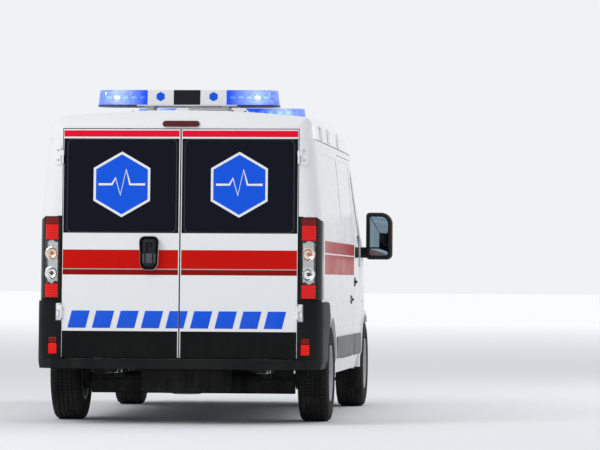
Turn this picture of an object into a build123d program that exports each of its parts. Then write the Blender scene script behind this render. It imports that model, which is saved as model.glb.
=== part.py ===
"""A panel-van ambulance with a low roof, two rear doors, a sliding side door and two roof light bars.

Frame: X to the vehicle's right, Y to its front, Z up, in millimetres. The origin is on the ground,
halfway along the vehicle and halfway across it.
"""

import math
import os

from build123d import *

os.makedirs("parts", exist_ok=True)

# Overall sizes of the vehicle
length = 5413
wheelbase = 3450
rear_overhang = 1015
body_half_width = 1000
roof_height = 2254
mirror_reach = 1254
sill_bottom = 330
wall = 45
shut_gap = 6
seat_gap = 0.3
trim_thickness = 12
glass_set_back = 4
glass_thickness = 8
far = 1300
high = 2600

rear = -length / 2
front = length / 2
rear_axle = rear + rear_overhang
front_axle = rear_axle + wheelbase

# Body shape
waist_z = 1450
gutter_x = 939
gutter_z = 2090
roof_edge_x = 874
roof_edge_z = 2208
roof_edge_bulge = 14
sill_x = 965
sill_top_z = 460
rear_foot_y = 60
rear_lean = math.tan(math.radians(2.5))
rear_corner_radius = 130
rear_roof_fall = 44
rear_roof_run = 1550
brow_run_start = 2350
brow_run_end = 600
brow_fall = 150
brow_fall_run = 750
screen_base_y = 735
screen_base_z = 1240
screen_slope = 1.012
screen_sag = 260
screen_sag_at = 900
roof_seam_z = 2012

# Nose shape, measured back from the front bumper
bonnet_front_z = 900
bonnet_slope = math.tan(math.radians(27.5))
bonnet_crown = 150
nose_bottom_z = 260
plan_rear_half = 1012
plan_rear = 1500

# Rear doors
rear_door_half = 832
rear_door_bottom = 470
rear_door_top = 2078
rear_door_split = 5
rear_window_bottom = 1345
rear_window_top = 2012
rear_window_inset = 24

# Cab and sliding doors, measured back from the front bumper
b_pillar = 2150
cab_door_front = 1160
door_bottom = 440
sliding_door_length = 1245
door_corner = 40
front_gap = 7

# Wheels
tyre_radius = 348
tyre_half_width = 112
rim_radius = 190
rim_lip = 104
rim_lip_radius = 202
rim_well_radius = 176
wheel_track_front = 1810
wheel_track_rear = 1790
arch_radius = 400
kingpin_offset = 45
spindle_radius = 32
running_gap = 0.1

# Floor and underbody
floor_top = 540
floor_thickness = 40
rail_x = 480
rail_width = 70
rail_height = 110


def from_rear(distance):
    """Y of a place that lies this far ahead of the rear bumper's rearmost face."""
    return rear + distance


def from_front(distance):
    """Y of a place that lies this far behind the front bumper's foremost face."""
    return front - distance


def rear_face_y(z):
    """Y of the leaning rear face at height z."""
    return from_rear(rear_foot_y) + (z - sill_top_z) * rear_lean


def box_between(low, high):
    """A box from its lowest to its highest corner."""
    size = [b - a for a, b in zip(low, high)]
    centre = [(a + b) / 2 for a, b in zip(low, high)]
    with BuildPart() as made:
        with Locations(tuple(centre)):
            Box(*size)
    return made.part


def side_prism(points, x_from, x_to, corner=0, grow=0):
    """An outline of (y, z) points seen from the side, carried across from x_from to x_to."""
    with BuildPart() as made:
        with BuildSketch(Plane.YZ.offset(x_from)) as outline:
            with BuildLine():
                Polyline(*points, close=True)
            make_face()
            if corner:
                fillet(outline.vertices(), corner)
            if grow:
                offset(amount=grow, kind=Kind.INTERSECTION)
        extrude(amount=x_to - x_from)
    return made.part


def end_prism(points, y_from, y_to, corner=0, grow=0):
    """An outline of (x, z) points seen from behind, carried forward from y_from to y_to."""
    with BuildPart() as made:
        with BuildSketch(Plane.XZ.offset(-y_from)) as outline:
            with BuildLine():
                Polyline(*points, close=True)
            make_face()
            if corner:
                fillet(outline.vertices(), corner)
            if grow:
                offset(amount=grow, kind=Kind.INTERSECTION)
        extrude(amount=-(y_to - y_from))
    return made.part


def mirrored(part):
    """The same piece for the other side of the vehicle."""
    with BuildPart() as made:
        mirror(part, about=Plane.YZ)
    return made.part


def both_sides(part):
    """A piece and its mirror image, as solids that don't touch."""
    with BuildPart() as made:
        add(part)
        mirror(part, about=Plane.YZ)
    return made.part


def side_section(inset):
    """The body's sides below the waist, drawn in by inset and carried far up."""
    with BuildSketch(Plane.XZ.offset(-rear + 200)) as section:
        with BuildLine():
            right = Polyline(
                (sill_x, -200),
                (sill_x, sill_bottom),
                (body_half_width, sill_top_z),
                (body_half_width, roof_height + 400),
            )
            mirror(right, about=Plane.YZ)
            Line((-sill_x, -200), (sill_x, -200))
            Line((-body_half_width, roof_height + 400), (body_half_width, roof_height + 400))
        make_face()
        if inset:
            offset(amount=-inset, kind=Kind.INTERSECTION)
    return section.sketch


def roof_section(y, z_shift, inset):
    """The upper sides and roof at y, moved up by z_shift and drawn in by inset."""
    lean = (body_half_width - gutter_x) / (gutter_z - waist_z)
    low = -400
    middle_x = (gutter_x + roof_edge_x) / 2 + roof_edge_bulge
    middle_z = (gutter_z + roof_edge_z) / 2 + roof_edge_bulge
    with BuildSketch(Plane.XZ.offset(-y)) as section:
        with BuildLine():
            side = Line((gutter_x + (gutter_z - low) * lean, low), (gutter_x, gutter_z))
            corner = ThreePointArc(side @ 1, (middle_x, middle_z), (roof_edge_x, roof_edge_z))
            ThreePointArc(corner @ 1, (0, roof_height), (-roof_edge_x, roof_edge_z))
            mirror(corner, about=Plane.YZ)
            mirror(side, about=Plane.YZ)
            foot = gutter_x + (gutter_z - low) * lean
            Line((-foot, low), (foot, low))
        make_face()
        if inset:
            offset(amount=-inset, kind=Kind.INTERSECTION)
    return section.sketch.moved(Location((0, 0, z_shift)))


def brow_rise(distance):
    """How far the roof has come down at a distance behind the front, as a negative rise."""
    return -brow_fall * (brow_run_start - distance) / brow_fall_run


# The roof's runs from rear to front: start y, end y, rise at the start, rise at the end
roof_runs = [
    (from_rear(0), from_rear(rear_roof_run), -rear_roof_fall, 0),
    (from_rear(rear_roof_run), from_front(brow_run_start), 0, 0),
    (from_front(brow_run_start), from_front(brow_run_end), 0, brow_rise(brow_run_end)),
]


def rear_corner_waste(low, top, lean_x, inset):
    """What is cut off both rear corners to round them. It follows the rear face's lean and the sides'."""
    radius = max(rear_corner_radius - inset, 20)
    side_x = body_half_width - inset
    face_y = rear_face_y(low) + inset
    clear = 150
    with BuildPart() as made:
        with BuildSketch(Plane.XY.offset(low)):
            with BuildLine():
                arc = CenterArc((side_x - radius, face_y + radius), radius, -90, 90)
                Polyline(
                    arc @ 1,
                    (side_x + clear, face_y + radius),
                    (side_x + clear, face_y - clear),
                    (side_x - radius, face_y - clear),
                    arc @ 0,
                )
            make_face()
        rise = Vector(lean_x, rear_lean, 1)
        extrude(amount=rise.length * (top - low), dir=rise)
        mirror(about=Plane.YZ)
    return made.part


def cabin_form(inset):
    """Cab and load space as one closed form behind the windscreen, drawn in by inset."""
    with BuildPart() as form:
        for start, end, rise_start, rise_end in roof_runs:
            run = end - start
            direction = Vector(0, run, rise_end - rise_start)
            extrude(roof_section(start, rise_start, inset), amount=direction.length, dir=direction)
        extrude(side_section(inset), amount=length + 400, dir=(0, 1, 0), mode=Mode.INTERSECT)
        top = roof_height + 150
        with BuildSketch(Plane.YZ.offset(-1200)):
            with BuildLine():
                rear_line = Line((rear_face_y(-100), -100), (rear_face_y(2100), 2100))
                round_edge = ThreePointArc(
                    rear_line @ 1, (from_rear(185), 2188), (from_rear(330), 2232)
                )
                Polyline(
                    round_edge @ 1,
                    (from_rear(700), top),
                    (from_front(screen_base_y + (top - screen_base_z) * screen_slope), top),
                    (from_front(screen_base_y), screen_base_z),
                    (from_front(screen_base_y), -100),
                    rear_line @ 0,
                )
            make_face()
            if inset:
                offset(amount=-inset, kind=Kind.INTERSECTION)
        extrude(amount=2400, mode=Mode.INTERSECT)
        # The windscreen is one arc in plan, carried up along its slope
        with BuildSketch(Plane.XY):
            base_y = from_front(screen_base_y - screen_base_z * screen_slope) - inset * 1.4
            reach = 1150
            end_y = base_y - screen_sag * (reach / screen_sag_at) ** 2
            with BuildLine():
                arc = ThreePointArc((-reach, end_y), (0, base_y), (reach, end_y))
                Polyline(arc @ 1, (reach, base_y - 9000), (-reach, base_y - 9000), arc @ 0)
            make_face()
        slope = Vector(0, -screen_slope, 1)
        extrude(amount=slope.length * 2600, dir=slope, mode=Mode.INTERSECT)
        side_lean = (gutter_x - body_half_width) / (gutter_z - waist_z)
        add(rear_corner_waste(-10, waist_z, 0, inset), mode=Mode.SUBTRACT)
        add(rear_corner_waste(waist_z, roof_height + 100, side_lean, inset), mode=Mode.SUBTRACT)
    return form.part


def nose_form(inset):
    """Bonnet, wings and bumper as one closed form, drawn in by inset."""
    nose_end = 1500
    bonnet_top_z = bonnet_front_z + (screen_base_y - 90) * bonnet_slope
    with BuildPart() as form:
        with BuildSketch(Plane.YZ.offset(inset - body_half_width)):
            with BuildLine():
                Polyline(
                    (from_front(nose_end), -100),
                    (from_front(70), -100),
                    (from_front(70), nose_bottom_z),
                    (from_front(0), 420),
                    (from_front(0), 620),
                    (from_front(35), 780),
                    (from_front(110), bonnet_front_z),
                    (from_front(screen_base_y + 20), bonnet_top_z),
                    (from_front(nose_end), bonnet_top_z + 150),
                    close=True,
                )
            make_face()
            if inset:
                offset(amount=-inset, kind=Kind.INTERSECTION)
        extrude(amount=2 * (body_half_width - inset))
        # The bonnet's crown is one arc, carried back along its slope
        with BuildSketch(Plane.XZ.offset(-front)):
            crown_z = bonnet_front_z - 110 * bonnet_slope + 22 - inset
            with BuildLine():
                arc = ThreePointArc(
                    (-body_half_width - 50, crown_z - bonnet_crown),
                    (0, crown_z),
                    (body_half_width + 50, crown_z - bonnet_crown),
                )
                Polyline(arc @ 1, (body_half_width + 50, -3000), (-body_half_width - 50, -3000), arc @ 0)
            make_face()
        slope = Vector(0, -1, bonnet_slope)
        extrude(amount=slope.length * 1700, dir=slope, mode=Mode.INTERSECT)
    return form.part


def body_form(inset):
    """The whole body's outer form, open-ended below and drawn in by inset."""
    with BuildPart() as form:
        add(cabin_form(inset))
        add(nose_form(inset))
        # In plan the body narrows from the cab doors to the bumper
        with BuildSketch(Plane.XY.offset(-400)):
            with BuildLine():
                FilletPolyline(
                    (plan_rear_half, from_front(plan_rear)),
                    (975, from_front(520)),
                    (800, from_front(130)),
                    (330, from_front(0)),
                    (-330, from_front(0)),
                    (-800, from_front(130)),
                    (-975, from_front(520)),
                    (-plan_rear_half, from_front(plan_rear)),
                    radius=260,
                )
                Polyline(
                    (plan_rear_half, from_front(plan_rear)),
                    (plan_rear_half, rear - 100),
                    (-plan_rear_half, rear - 100),
                    (-plan_rear_half, from_front(plan_rear)),
                )
            make_face()
            if inset:
                offset(amount=-inset, kind=Kind.INTERSECTION)
        extrude(amount=3200, mode=Mode.INTERSECT)
    return form.part


outer = body_form(0)
inner = body_form(wall)
proud = cabin_form(-trim_thickness)
seat = body_form(-seat_gap)
glass_outer = body_form(glass_set_back)
glass_inner = body_form(glass_set_back + glass_thickness)

underside = side_prism(
    [
        (from_rear(-100), sill_bottom),
        (from_front(1000), sill_bottom),
        (from_front(640), nose_bottom_z),
        (from_front(-100), nose_bottom_z),
        (from_front(-100), roof_height + 100),
        (from_rear(-100), roof_height + 100),
    ],
    -1200,
    1200,
)
with BuildPart() as shell_maker:
    add(outer & underside)
    add(inner, mode=Mode.SUBTRACT)
shell = shell_maker.part
with BuildPart() as pane_maker:
    add(glass_outer)
    add(glass_inner, mode=Mode.SUBTRACT)
panes = pane_maker.part
with BuildPart() as trim_maker:
    add(proud)
    add(seat, mode=Mode.SUBTRACT)
trim_skin = trim_maker.part
cover_core = cabin_form(glass_set_back + glass_thickness + seat_gap)


def fore(points):
    """Side-view points given as (distance behind the front, height)."""
    return [(from_front(f), z) for f, z in points]


def aft(points):
    """Side-view points given as (distance ahead of the rear, height)."""
    return [(from_rear(r), z) for r, z in points]


def wheel_disc(axle_y, radius, x_from, x_to, height=tyre_radius):
    """A disc about a wheel's axle line."""
    with BuildPart() as made:
        with BuildSketch(Plane.YZ.offset(x_from)):
            with Locations((axle_y, height)):
                Circle(radius)
        extrude(amount=x_to - x_from)
    return made.part


def rod(start, end, radius):
    """A round bar between two points."""
    along = Vector(*end) - Vector(*start)
    with BuildPart() as made:
        with BuildSketch(Plane(origin=start, z_dir=along)):
            Circle(radius)
        extrude(amount=along.length)
    return made.part


# Outlines of the openings, as (distance behind the front, height)
cab_door_points = fore([
    (cab_door_front, door_bottom),
    (cab_door_front, 1250),
    (cab_door_front + 723, 1965),
    (b_pillar - 67, 1965),
    (b_pillar - 67, door_bottom),
])
cab_window_points = fore([
    (2003, 1180), (1690, 1180), (1640, 1130), (1430, 1130), (1430, 1404), (1912, 1880), (2003, 1880),
])
sliding_door_points = fore([
    (b_pillar, door_bottom),
    (b_pillar, 1960),
    (b_pillar + sliding_door_length, 1960),
    (b_pillar + sliding_door_length, door_bottom),
])
windscreen_points = [(-885, 1262), (885, 1262), (845, 2050), (-845, 2050)]
headlamp_points = fore([(-60, 640), (400, 640), (520, 876), (-60, 876)])
tail_lamp_points = [(850, 883), (1060, 883), (1060, 1390), (962, 1462), (850, 1462)]
bumper_corner_points = aft([(-60, 391), (690, 391), (835, 735), (750, 845), (640, 864), (-60, 868)])
arch_lip = 40
arch_flare = 34

screen_rear = 1960
screen_corner = 60
windscreen_hole = end_prism(windscreen_points, from_front(screen_rear), front, screen_corner)
bonnet_half = 780
bonnet_rear = 690
bonnet_bottom = 883
cowl_top = 1262
bumper_top = 640
lamp_inner = 450
seam = seat_gap / 2

panel_nose_zone = box_between((-far, from_front(cab_door_front - 3), 0), (far, front + 50, cowl_top - seam))
nose_zone = box_between(
    (-far, from_front(cab_door_front - shut_gap), 0), (far, front + 50, cowl_top - seam - seat_gap)
)
front_lip = wheel_disc(front_axle, arch_radius + arch_lip, -far, far)
bonnet_zone = box_between((0, from_front(bonnet_rear), bonnet_bottom), (bonnet_half, front + 50, high))
arch_depth = 700
rear_arch = wheel_disc(rear_axle, arch_radius, arch_depth, far)
front_arch = wheel_disc(front_axle, arch_radius, arch_depth, far)
rear_door_zone = box_between(
    (-rear_door_half - shut_gap, rear - 100, 0),
    (rear_door_half + shut_gap, from_rear(260), rear_door_top + shut_gap),
)
corner_inner_x = 838
notch_bottom = 730
notch_top = 852
notch_outer = 873
corner_zone = side_prism(bumper_corner_points, corner_inner_x, far)
hinge_notch = box_between((830, rear - 50, notch_bottom), (notch_outer, from_rear(300), notch_top))
panel_cut = corner_zone - cover_core - hinge_notch
lamp_depth = 320
lamp_zone = end_prism(tail_lamp_points, rear - 50, from_rear(lamp_depth))


# Blank window recesses of the side, as (start, end) ahead of the rear
recess_low = 1430
recess_top = 1930
quarter_recess = (560, 1960)
door_recess = (2080, 3190)
recess_skin = outer - glass_outer


def side_recess(ends):
    """The shallow hollow of a blank window in the side."""
    start, end = ends
    outline = aft([(start, recess_low), (end, recess_low), (end, recess_top), (start + 60, recess_top)])
    return recess_skin & side_prism(outline, 700, far, 80)


def arch_ring(axle_y):
    """The flare round a wheel arch, standing out from the side."""
    ring = wheel_disc(axle_y, arch_radius + arch_flare, body_half_width - 20, far)
    return (ring & proud) - inner - wheel_disc(axle_y, arch_radius, 0, far)


# Lift pads under the sills
jack_pad_x = 942.5
jack_pad_bottom = sill_bottom - 12
jack_pad_top = sill_bottom + 10
jack_pad_places = (from_rear(1600), from_front(1500))
rear_flare = arch_ring(rear_axle) & box_between((0, rear, sill_bottom + 60), (far, front, high))
front_flare = arch_ring(front_axle) & box_between((0, rear, sill_bottom + 10), (far, front, high))


def side_panel(side):
    """One bodyside: rear quarter, sill, pillars and cant rail, with its door holes."""
    with BuildPart() as made:
        add(shell)
        add(side_recess(quarter_recess), mode=Mode.SUBTRACT)
        add(rear_flare)
        for pad_y in jack_pad_places:
            with Locations((jack_pad_x, pad_y, (jack_pad_bottom + jack_pad_top) / 2)):
                Box(35, 70, jack_pad_top - jack_pad_bottom)
        if side == "left":
            add(side_recess(door_recess), mode=Mode.SUBTRACT)
        add(box_between((0, rear - 100, 0), (far, front, roof_seam_z - seam)), mode=Mode.INTERSECT)
        add(panel_nose_zone, mode=Mode.SUBTRACT)
        add(front_lip, mode=Mode.SUBTRACT)
        add(side_prism(cab_door_points, 700, far, door_corner, shut_gap), mode=Mode.SUBTRACT)
        add(windscreen_hole, mode=Mode.SUBTRACT)
        add(rear_door_zone, mode=Mode.SUBTRACT)
        add(panel_cut, mode=Mode.SUBTRACT)
        add(box_between((0, rear - 50, 0), (far, from_rear(700), 392)), mode=Mode.SUBTRACT)
        add(lamp_zone, mode=Mode.SUBTRACT)
        add(rear_arch, mode=Mode.SUBTRACT)
        if side == "right":
            add(side_prism(sliding_door_points, 700, far, door_corner, shut_gap), mode=Mode.SUBTRACT)
    return made.part if side == "right" else mirrored(made.part)


with BuildPart() as side_panel_right:
    add(side_panel("right"))
side_panel_right.part.label = "side_panel_right"
export_step(side_panel_right.part, "parts/side_panel_right.step")

with BuildPart() as side_panel_left:
    add(side_panel("left"))
side_panel_left.part.label = "side_panel_left"
export_step(side_panel_left.part, "parts/side_panel_left.step")

with BuildPart() as roof:
    add(shell)
    add(box_between((-far, rear - 100, roof_seam_z + seam), (far, front, high)), mode=Mode.INTERSECT)
    add(rear_door_zone, mode=Mode.SUBTRACT)
    add(windscreen_hole, mode=Mode.SUBTRACT)
roof.part.label = "roof"
export_step(roof.part, "parts/roof.step")

with BuildPart() as sliding_door:
    add(shell)
    add(side_prism(sliding_door_points, 700, far, door_corner), mode=Mode.INTERSECT)
    add(side_recess(door_recess), mode=Mode.SUBTRACT)
    for pin_z in (700, 1500):
        edge_y = from_front(b_pillar + sliding_door_length)
        add(rod((978, edge_y + 20, pin_z), (978, edge_y - shut_gap + seat_gap, pin_z), 7))
sliding_door.part.label = "sliding_door"
export_step(sliding_door.part, "parts/sliding_door.step")


def hinge_barrel(x, y, z, height, radius, toward, lean=0):
    """A hinge barrel about an upright axis, with a web toward what it is fixed to."""
    with BuildPart() as made:
        plane = Plane(origin=(x, y, z), x_dir=(1, 0, 0), z_dir=(0, lean, 1))
        with BuildSketch(plane):
            Circle(radius)
            with BuildLine():
                across = Vector(-toward[1], toward[0]).normalized() * radius * 0.7
                end = Vector(*toward)
                Polyline(
                    (across.X, across.Y),
                    (end.X + across.X, end.Y + across.Y),
                    (end.X - across.X, end.Y - across.Y),
                    (-across.X, -across.Y),
                    close=True,
                )
            make_face()
        extrude(amount=height)
    return made.part


cab_hinge_x = 1001
cab_hinge_y = from_front(cab_door_front - front_gap / 2)
cab_hinge_radius = 5
cab_hinge_heights = (780, 1130)
barrel_height = 50
wing_barrel_height = 30


def hinge_relief(z):
    """The room cut around a stack of cab door hinge barrels."""
    low, top = z - shut_gap, z + barrel_height + wing_barrel_height + shut_gap
    return rod((cab_hinge_x, cab_hinge_y, low), (cab_hinge_x, cab_hinge_y, top), cab_hinge_radius + shut_gap)


def cab_door():
    """The right cab door with its window cut and its hinge barrels."""
    with BuildPart() as made:
        add(shell)
        add(side_prism(cab_door_points, 700, far, door_corner), mode=Mode.INTERSECT)
        add(wheel_disc(front_axle, arch_radius + arch_lip + shut_gap, 700, far), mode=Mode.SUBTRACT)
        add(side_prism(cab_window_points, 700, far, 25), mode=Mode.SUBTRACT)
        for z in cab_hinge_heights:
            add(hinge_relief(z), mode=Mode.SUBTRACT)
            add(hinge_barrel(cab_hinge_x, cab_hinge_y, z, barrel_height, cab_hinge_radius, (-8, -22)))
    return made.part


with BuildPart() as cab_door_right:
    add(cab_door())
cab_door_right.part.label = "cab_door_right"
export_step(cab_door_right.part, "parts/cab_door_right.step")

with BuildPart() as cab_door_left:
    mirror(cab_door_right.part, about=Plane.YZ)
cab_door_left.part.label = "cab_door_left"
export_step(cab_door_left.part, "parts/cab_door_left.step")

with BuildPart() as cab_glass_right:
    add(panes)
    add(side_prism(cab_window_points, 700, far, 25, -seat_gap), mode=Mode.INTERSECT)
cab_glass_right.part.label = "cab_glass_right"
export_step(cab_glass_right.part, "parts/cab_glass_right.step")

with BuildPart() as cab_glass_left:
    mirror(cab_glass_right.part, about=Plane.YZ)
cab_glass_left.part.label = "cab_glass_left"
export_step(cab_glass_left.part, "parts/cab_glass_left.step")

with BuildPart() as windscreen:
    add(panes)
    add(
        end_prism(windscreen_points, from_front(screen_rear), front, screen_corner, -seat_gap),
        mode=Mode.INTERSECT,
    )
windscreen.part.label = "windscreen"
export_step(windscreen.part, "parts/windscreen.step")

rear_hinge_x = rear_door_half + shut_gap / 2
rear_hinge_set_back = 15
rear_hinge_radius = 9
rear_hinge_heights = (745, 1836)
rear_hinge_height = 90
door_barrel_height = rear_hinge_height * 0.6
post_barrel_height = rear_hinge_height * 0.4


def rear_hinge_y(z):
    """Y of the rear door's hinge line at height z."""
    return rear_face_y(z) - rear_hinge_set_back


rear_window_points = [
    (rear_window_inset, rear_window_bottom),
    (rear_door_half - rear_window_inset, rear_window_bottom),
    (rear_door_half - rear_window_inset, rear_window_top),
    (rear_window_inset, rear_window_top),
]
rear_door_points = [
    (rear_door_split, rear_door_bottom),
    (rear_door_half, rear_door_bottom),
    (rear_door_half, rear_door_top),
    (rear_door_split, rear_door_top),
]

with BuildPart() as rear_door_right:
    add(shell)
    add(end_prism(rear_door_points, rear - 50, from_rear(200)), mode=Mode.INTERSECT)
    add(end_prism(rear_window_points, rear - 50, from_rear(300), 40), mode=Mode.SUBTRACT)
    for z in rear_hinge_heights:
        add(hinge_barrel(
            rear_hinge_x, rear_hinge_y(z), z,
            door_barrel_height, rear_hinge_radius, (-18, 24), rear_lean,
        ))
rear_door_right.part.label = "rear_door_right"
export_step(rear_door_right.part, "parts/rear_door_right.step")

with BuildPart() as rear_door_left:
    mirror(rear_door_right.part, about=Plane.YZ)
rear_door_left.part.label = "rear_door_left"
export_step(rear_door_left.part, "parts/rear_door_left.step")

with BuildPart() as rear_glass_right:
    add(panes)
    add(end_prism(rear_window_points, rear - 50, from_rear(300), 40, -seat_gap), mode=Mode.INTERSECT)
rear_glass_right.part.label = "rear_glass_right"
export_step(rear_glass_right.part, "parts/rear_glass_right.step")

with BuildPart() as rear_glass_left:
    mirror(rear_glass_right.part, about=Plane.YZ)
rear_glass_left.part.label = "rear_glass_left"
export_step(rear_glass_left.part, "parts/rear_glass_left.step")

bonnet_hinge_z = bonnet_front_z + (bonnet_rear - 110) * bonnet_slope + 3
bonnet_hinge_y = from_front(bonnet_rear + front_gap / 2)
bonnet_hinge_x = 150


def bonnet_barrel(x_from, x_to, toward_y):
    """A hinge barrel about the bonnet's hinge line."""
    with BuildPart() as made:
        with BuildSketch(Plane.YZ.offset(x_from)):
            with Locations((bonnet_hinge_y, bonnet_hinge_z - 2)):
                Circle(5)
            with BuildLine():
                Polyline(
                    (bonnet_hinge_y, bonnet_hinge_z + 1),
                    (bonnet_hinge_y + toward_y, bonnet_hinge_z - 4),
                    (bonnet_hinge_y + toward_y, bonnet_hinge_z - 30),
                    (bonnet_hinge_y, bonnet_hinge_z - 7),
                    close=True,
                )
            make_face()
        extrude(amount=x_to - x_from)
    return made.part


bonnet_hinge_relief = rod(
    (bonnet_hinge_x - 46, bonnet_hinge_y, bonnet_hinge_z - 2),
    (bonnet_hinge_x + 26, bonnet_hinge_y, bonnet_hinge_z - 2),
    10,
)

with BuildPart() as bonnet:
    add(shell)
    add(bonnet_zone, mode=Mode.INTERSECT)
    add(bonnet_hinge_relief, mode=Mode.SUBTRACT)
    add(bonnet_barrel(bonnet_hinge_x - 20, bonnet_hinge_x + 20, 24))
    mirror(about=Plane.YZ)
bonnet.part.label = "bonnet"
export_step(bonnet.part, "parts/bonnet.step")

with BuildPart() as cowl:
    add(shell)
    add(box_between(
        (0, from_front(cab_door_front - front_gap - seat_gap), bonnet_bottom),
        (bonnet_half, from_front(bonnet_rear + front_gap), cowl_top - seat_gap - seam),
    ), mode=Mode.INTERSECT)
    add(bonnet_hinge_relief, mode=Mode.SUBTRACT)
    add(bonnet_barrel(bonnet_hinge_x - 40 - seat_gap, bonnet_hinge_x - 20 - seat_gap, -24))
    mirror(about=Plane.YZ)
cowl.part.label = "cowl"
export_step(cowl.part, "parts/cowl.step")

with BuildPart() as front_wing_right:
    add(shell)
    add(nose_zone + front_lip, mode=Mode.INTERSECT)
    add(box_between((0, rear, 0), (bonnet_half + seat_gap, front + 50, high)), mode=Mode.SUBTRACT)
    add(box_between((-far, rear, 0), (0, front + 50, high)), mode=Mode.SUBTRACT)
    add(box_between(
        (0, from_front(bonnet_rear), bonnet_bottom - 20),
        (bonnet_half + front_gap, front + 50, high),
    ), mode=Mode.SUBTRACT)
    add(side_prism(headlamp_points, 300, far, 0, seat_gap), mode=Mode.SUBTRACT)
    add(box_between((-far, front_axle, 0), (far, front + 50, bumper_top + seat_gap)), mode=Mode.SUBTRACT)
    add(front_arch, mode=Mode.SUBTRACT)
    add(front_flare - box_between((0, front_axle, 0), (far, front, bumper_top + seat_gap)))
    for z in cab_hinge_heights:
        add(hinge_relief(z), mode=Mode.SUBTRACT)
        low = z + barrel_height + seat_gap
        add(hinge_barrel(cab_hinge_x, cab_hinge_y, low, wing_barrel_height, cab_hinge_radius, (-8, 22)))
front_wing_right.part.label = "front_wing_right"
export_step(front_wing_right.part, "parts/front_wing_right.step")

with BuildPart() as front_wing_left:
    mirror(front_wing_right.part, about=Plane.YZ)
front_wing_left.part.label = "front_wing_left"
export_step(front_wing_left.part, "parts/front_wing_left.step")

with BuildPart() as headlamp:
    add(shell)
    add(side_prism(headlamp_points, lamp_inner, far), mode=Mode.INTERSECT)
with BuildPart() as headlamps:
    add(both_sides(headlamp.part))
headlamps.part.label = "headlamps"
export_step(headlamps.part, "parts/headlamps.step")

nose_depth = 400
grille_top = 876
grille_slot_first = 668
grille_slot_pitch = 48
grille_slot_height = 28
grille_slot_half = 400

with BuildPart() as grille:
    add(shell)
    add(box_between(
        (0, from_front(nose_depth), bumper_top + seat_gap), (lamp_inner - seat_gap, front + 50, grille_top)
    ), mode=Mode.INTERSECT)
    for slot in range(4):
        low = grille_slot_first + slot * grille_slot_pitch
        add(box_between(
            (-1, from_front(nose_depth), low), (grille_slot_half, front + 50, low + grille_slot_height)
        ), mode=Mode.SUBTRACT)
    mirror(about=Plane.YZ)
grille.part.label = "grille"
export_step(grille.part, "parts/grille.step")

# The front towing eye's place: its way through the bumper and its threaded bore in the frame
eye_x = 520
eye_z = 445
eye_way_radius = 24
eye_bore_radius = 10
eye_bore_length = 60
bumper_slots = (330, 400, 470)
bumper_slot_height = 45
bumper_slot_half = 420

with BuildPart() as front_bumper:
    add(shell)
    add(front_flare)
    add(box_between((0, front_axle, 0), (far, front + 50, bumper_top)), mode=Mode.INTERSECT)
    add(front_arch, mode=Mode.SUBTRACT)
    for low in bumper_slots:
        add(box_between(
            (-10, from_front(nose_depth), low), (bumper_slot_half, front + 50, low + bumper_slot_height)
        ), mode=Mode.SUBTRACT)
    mirror(about=Plane.YZ)
    add(rod(
        (eye_x, from_front(nose_depth), eye_z), (eye_x, front + 50, eye_z), eye_way_radius
    ), mode=Mode.SUBTRACT)
front_bumper.part.label = "front_bumper"
export_step(front_bumper.part, "parts/front_bumper.step")

bumper_beam_points = [
    (985, 250), (975, 90), (900, 15), (600, 0), (-600, 0), (-900, 15), (-975, 90), (-985, 250),
    (-900, 250), (-860, 110), (860, 110), (900, 250),
]
beam_bottom = 391
beam_height = 68

with BuildPart() as corner_cover:
    add(proud)
    add(glass_inner, mode=Mode.SUBTRACT)
    add(side_prism(bumper_corner_points, corner_inner_x, far, 0, -seat_gap), mode=Mode.INTERSECT)
    add(box_between(
        (820, rear - 50, notch_bottom - 5), (notch_outer + 5, from_rear(300), notch_top + 5)
    ), mode=Mode.SUBTRACT)
    add(wheel_disc(rear_axle, arch_radius + arch_flare + seat_gap, 0, far), mode=Mode.SUBTRACT)

with BuildPart() as rear_bumper:
    add(both_sides(corner_cover.part))
    with BuildSketch(Plane.XY.offset(beam_bottom)):
        with BuildLine():
            Polyline(*[(x, from_rear(r)) for x, r in bumper_beam_points], close=True)
        make_face()
    extrude(amount=beam_height)
    add(glass_inner, mode=Mode.SUBTRACT)
rear_bumper.part.label = "rear_bumper"
export_step(rear_bumper.part, "parts/rear_bumper.step")

with BuildPart() as tail_lamp:
    add(shell)
    add(
        end_prism(tail_lamp_points, rear - 50, from_rear(lamp_depth - seat_gap), 0, -seat_gap),
        mode=Mode.INTERSECT,
    )
with BuildPart() as tail_lamps:
    add(both_sides(tail_lamp.part))
tail_lamps.part.label = "tail_lamps"
export_step(tail_lamps.part, "parts/tail_lamps.step")

brake_lamp_points = [(-130, 2095), (130, 2095), (130, 2138), (-130, 2138)]

with BuildPart() as brake_lamp_high:
    add(trim_skin)
    add(end_prism(brake_lamp_points, rear, from_rear(260), 20), mode=Mode.INTERSECT)
brake_lamp_high.part.label = "brake_lamp_high"
export_step(brake_lamp_high.part, "parts/brake_lamp_high.step")

lower_plate_points = [(850, 758), (868, 758), (868, 849), (850, 849)]
upper_plate_points = [(850, 1826), (884, 1826), (905, 1850), (905, 1960), (850, 1960)]

with BuildPart() as rear_hinge:
    for z, plate in zip(rear_hinge_heights, (lower_plate_points, upper_plate_points)):
        add(trim_skin & end_prism(plate, rear, from_rear(300), 8))
        start = z + door_barrel_height + seat_gap
        add(hinge_barrel(
            rear_hinge_x, rear_hinge_y(start), start,
            post_barrel_height, rear_hinge_radius, (24, 6), rear_lean,
        ))
with BuildPart() as rear_hinges:
    add(both_sides(rear_hinge.part))
rear_hinges.part.label = "rear_hinges"
export_step(rear_hinges.part, "parts/rear_hinges.step")


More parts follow.
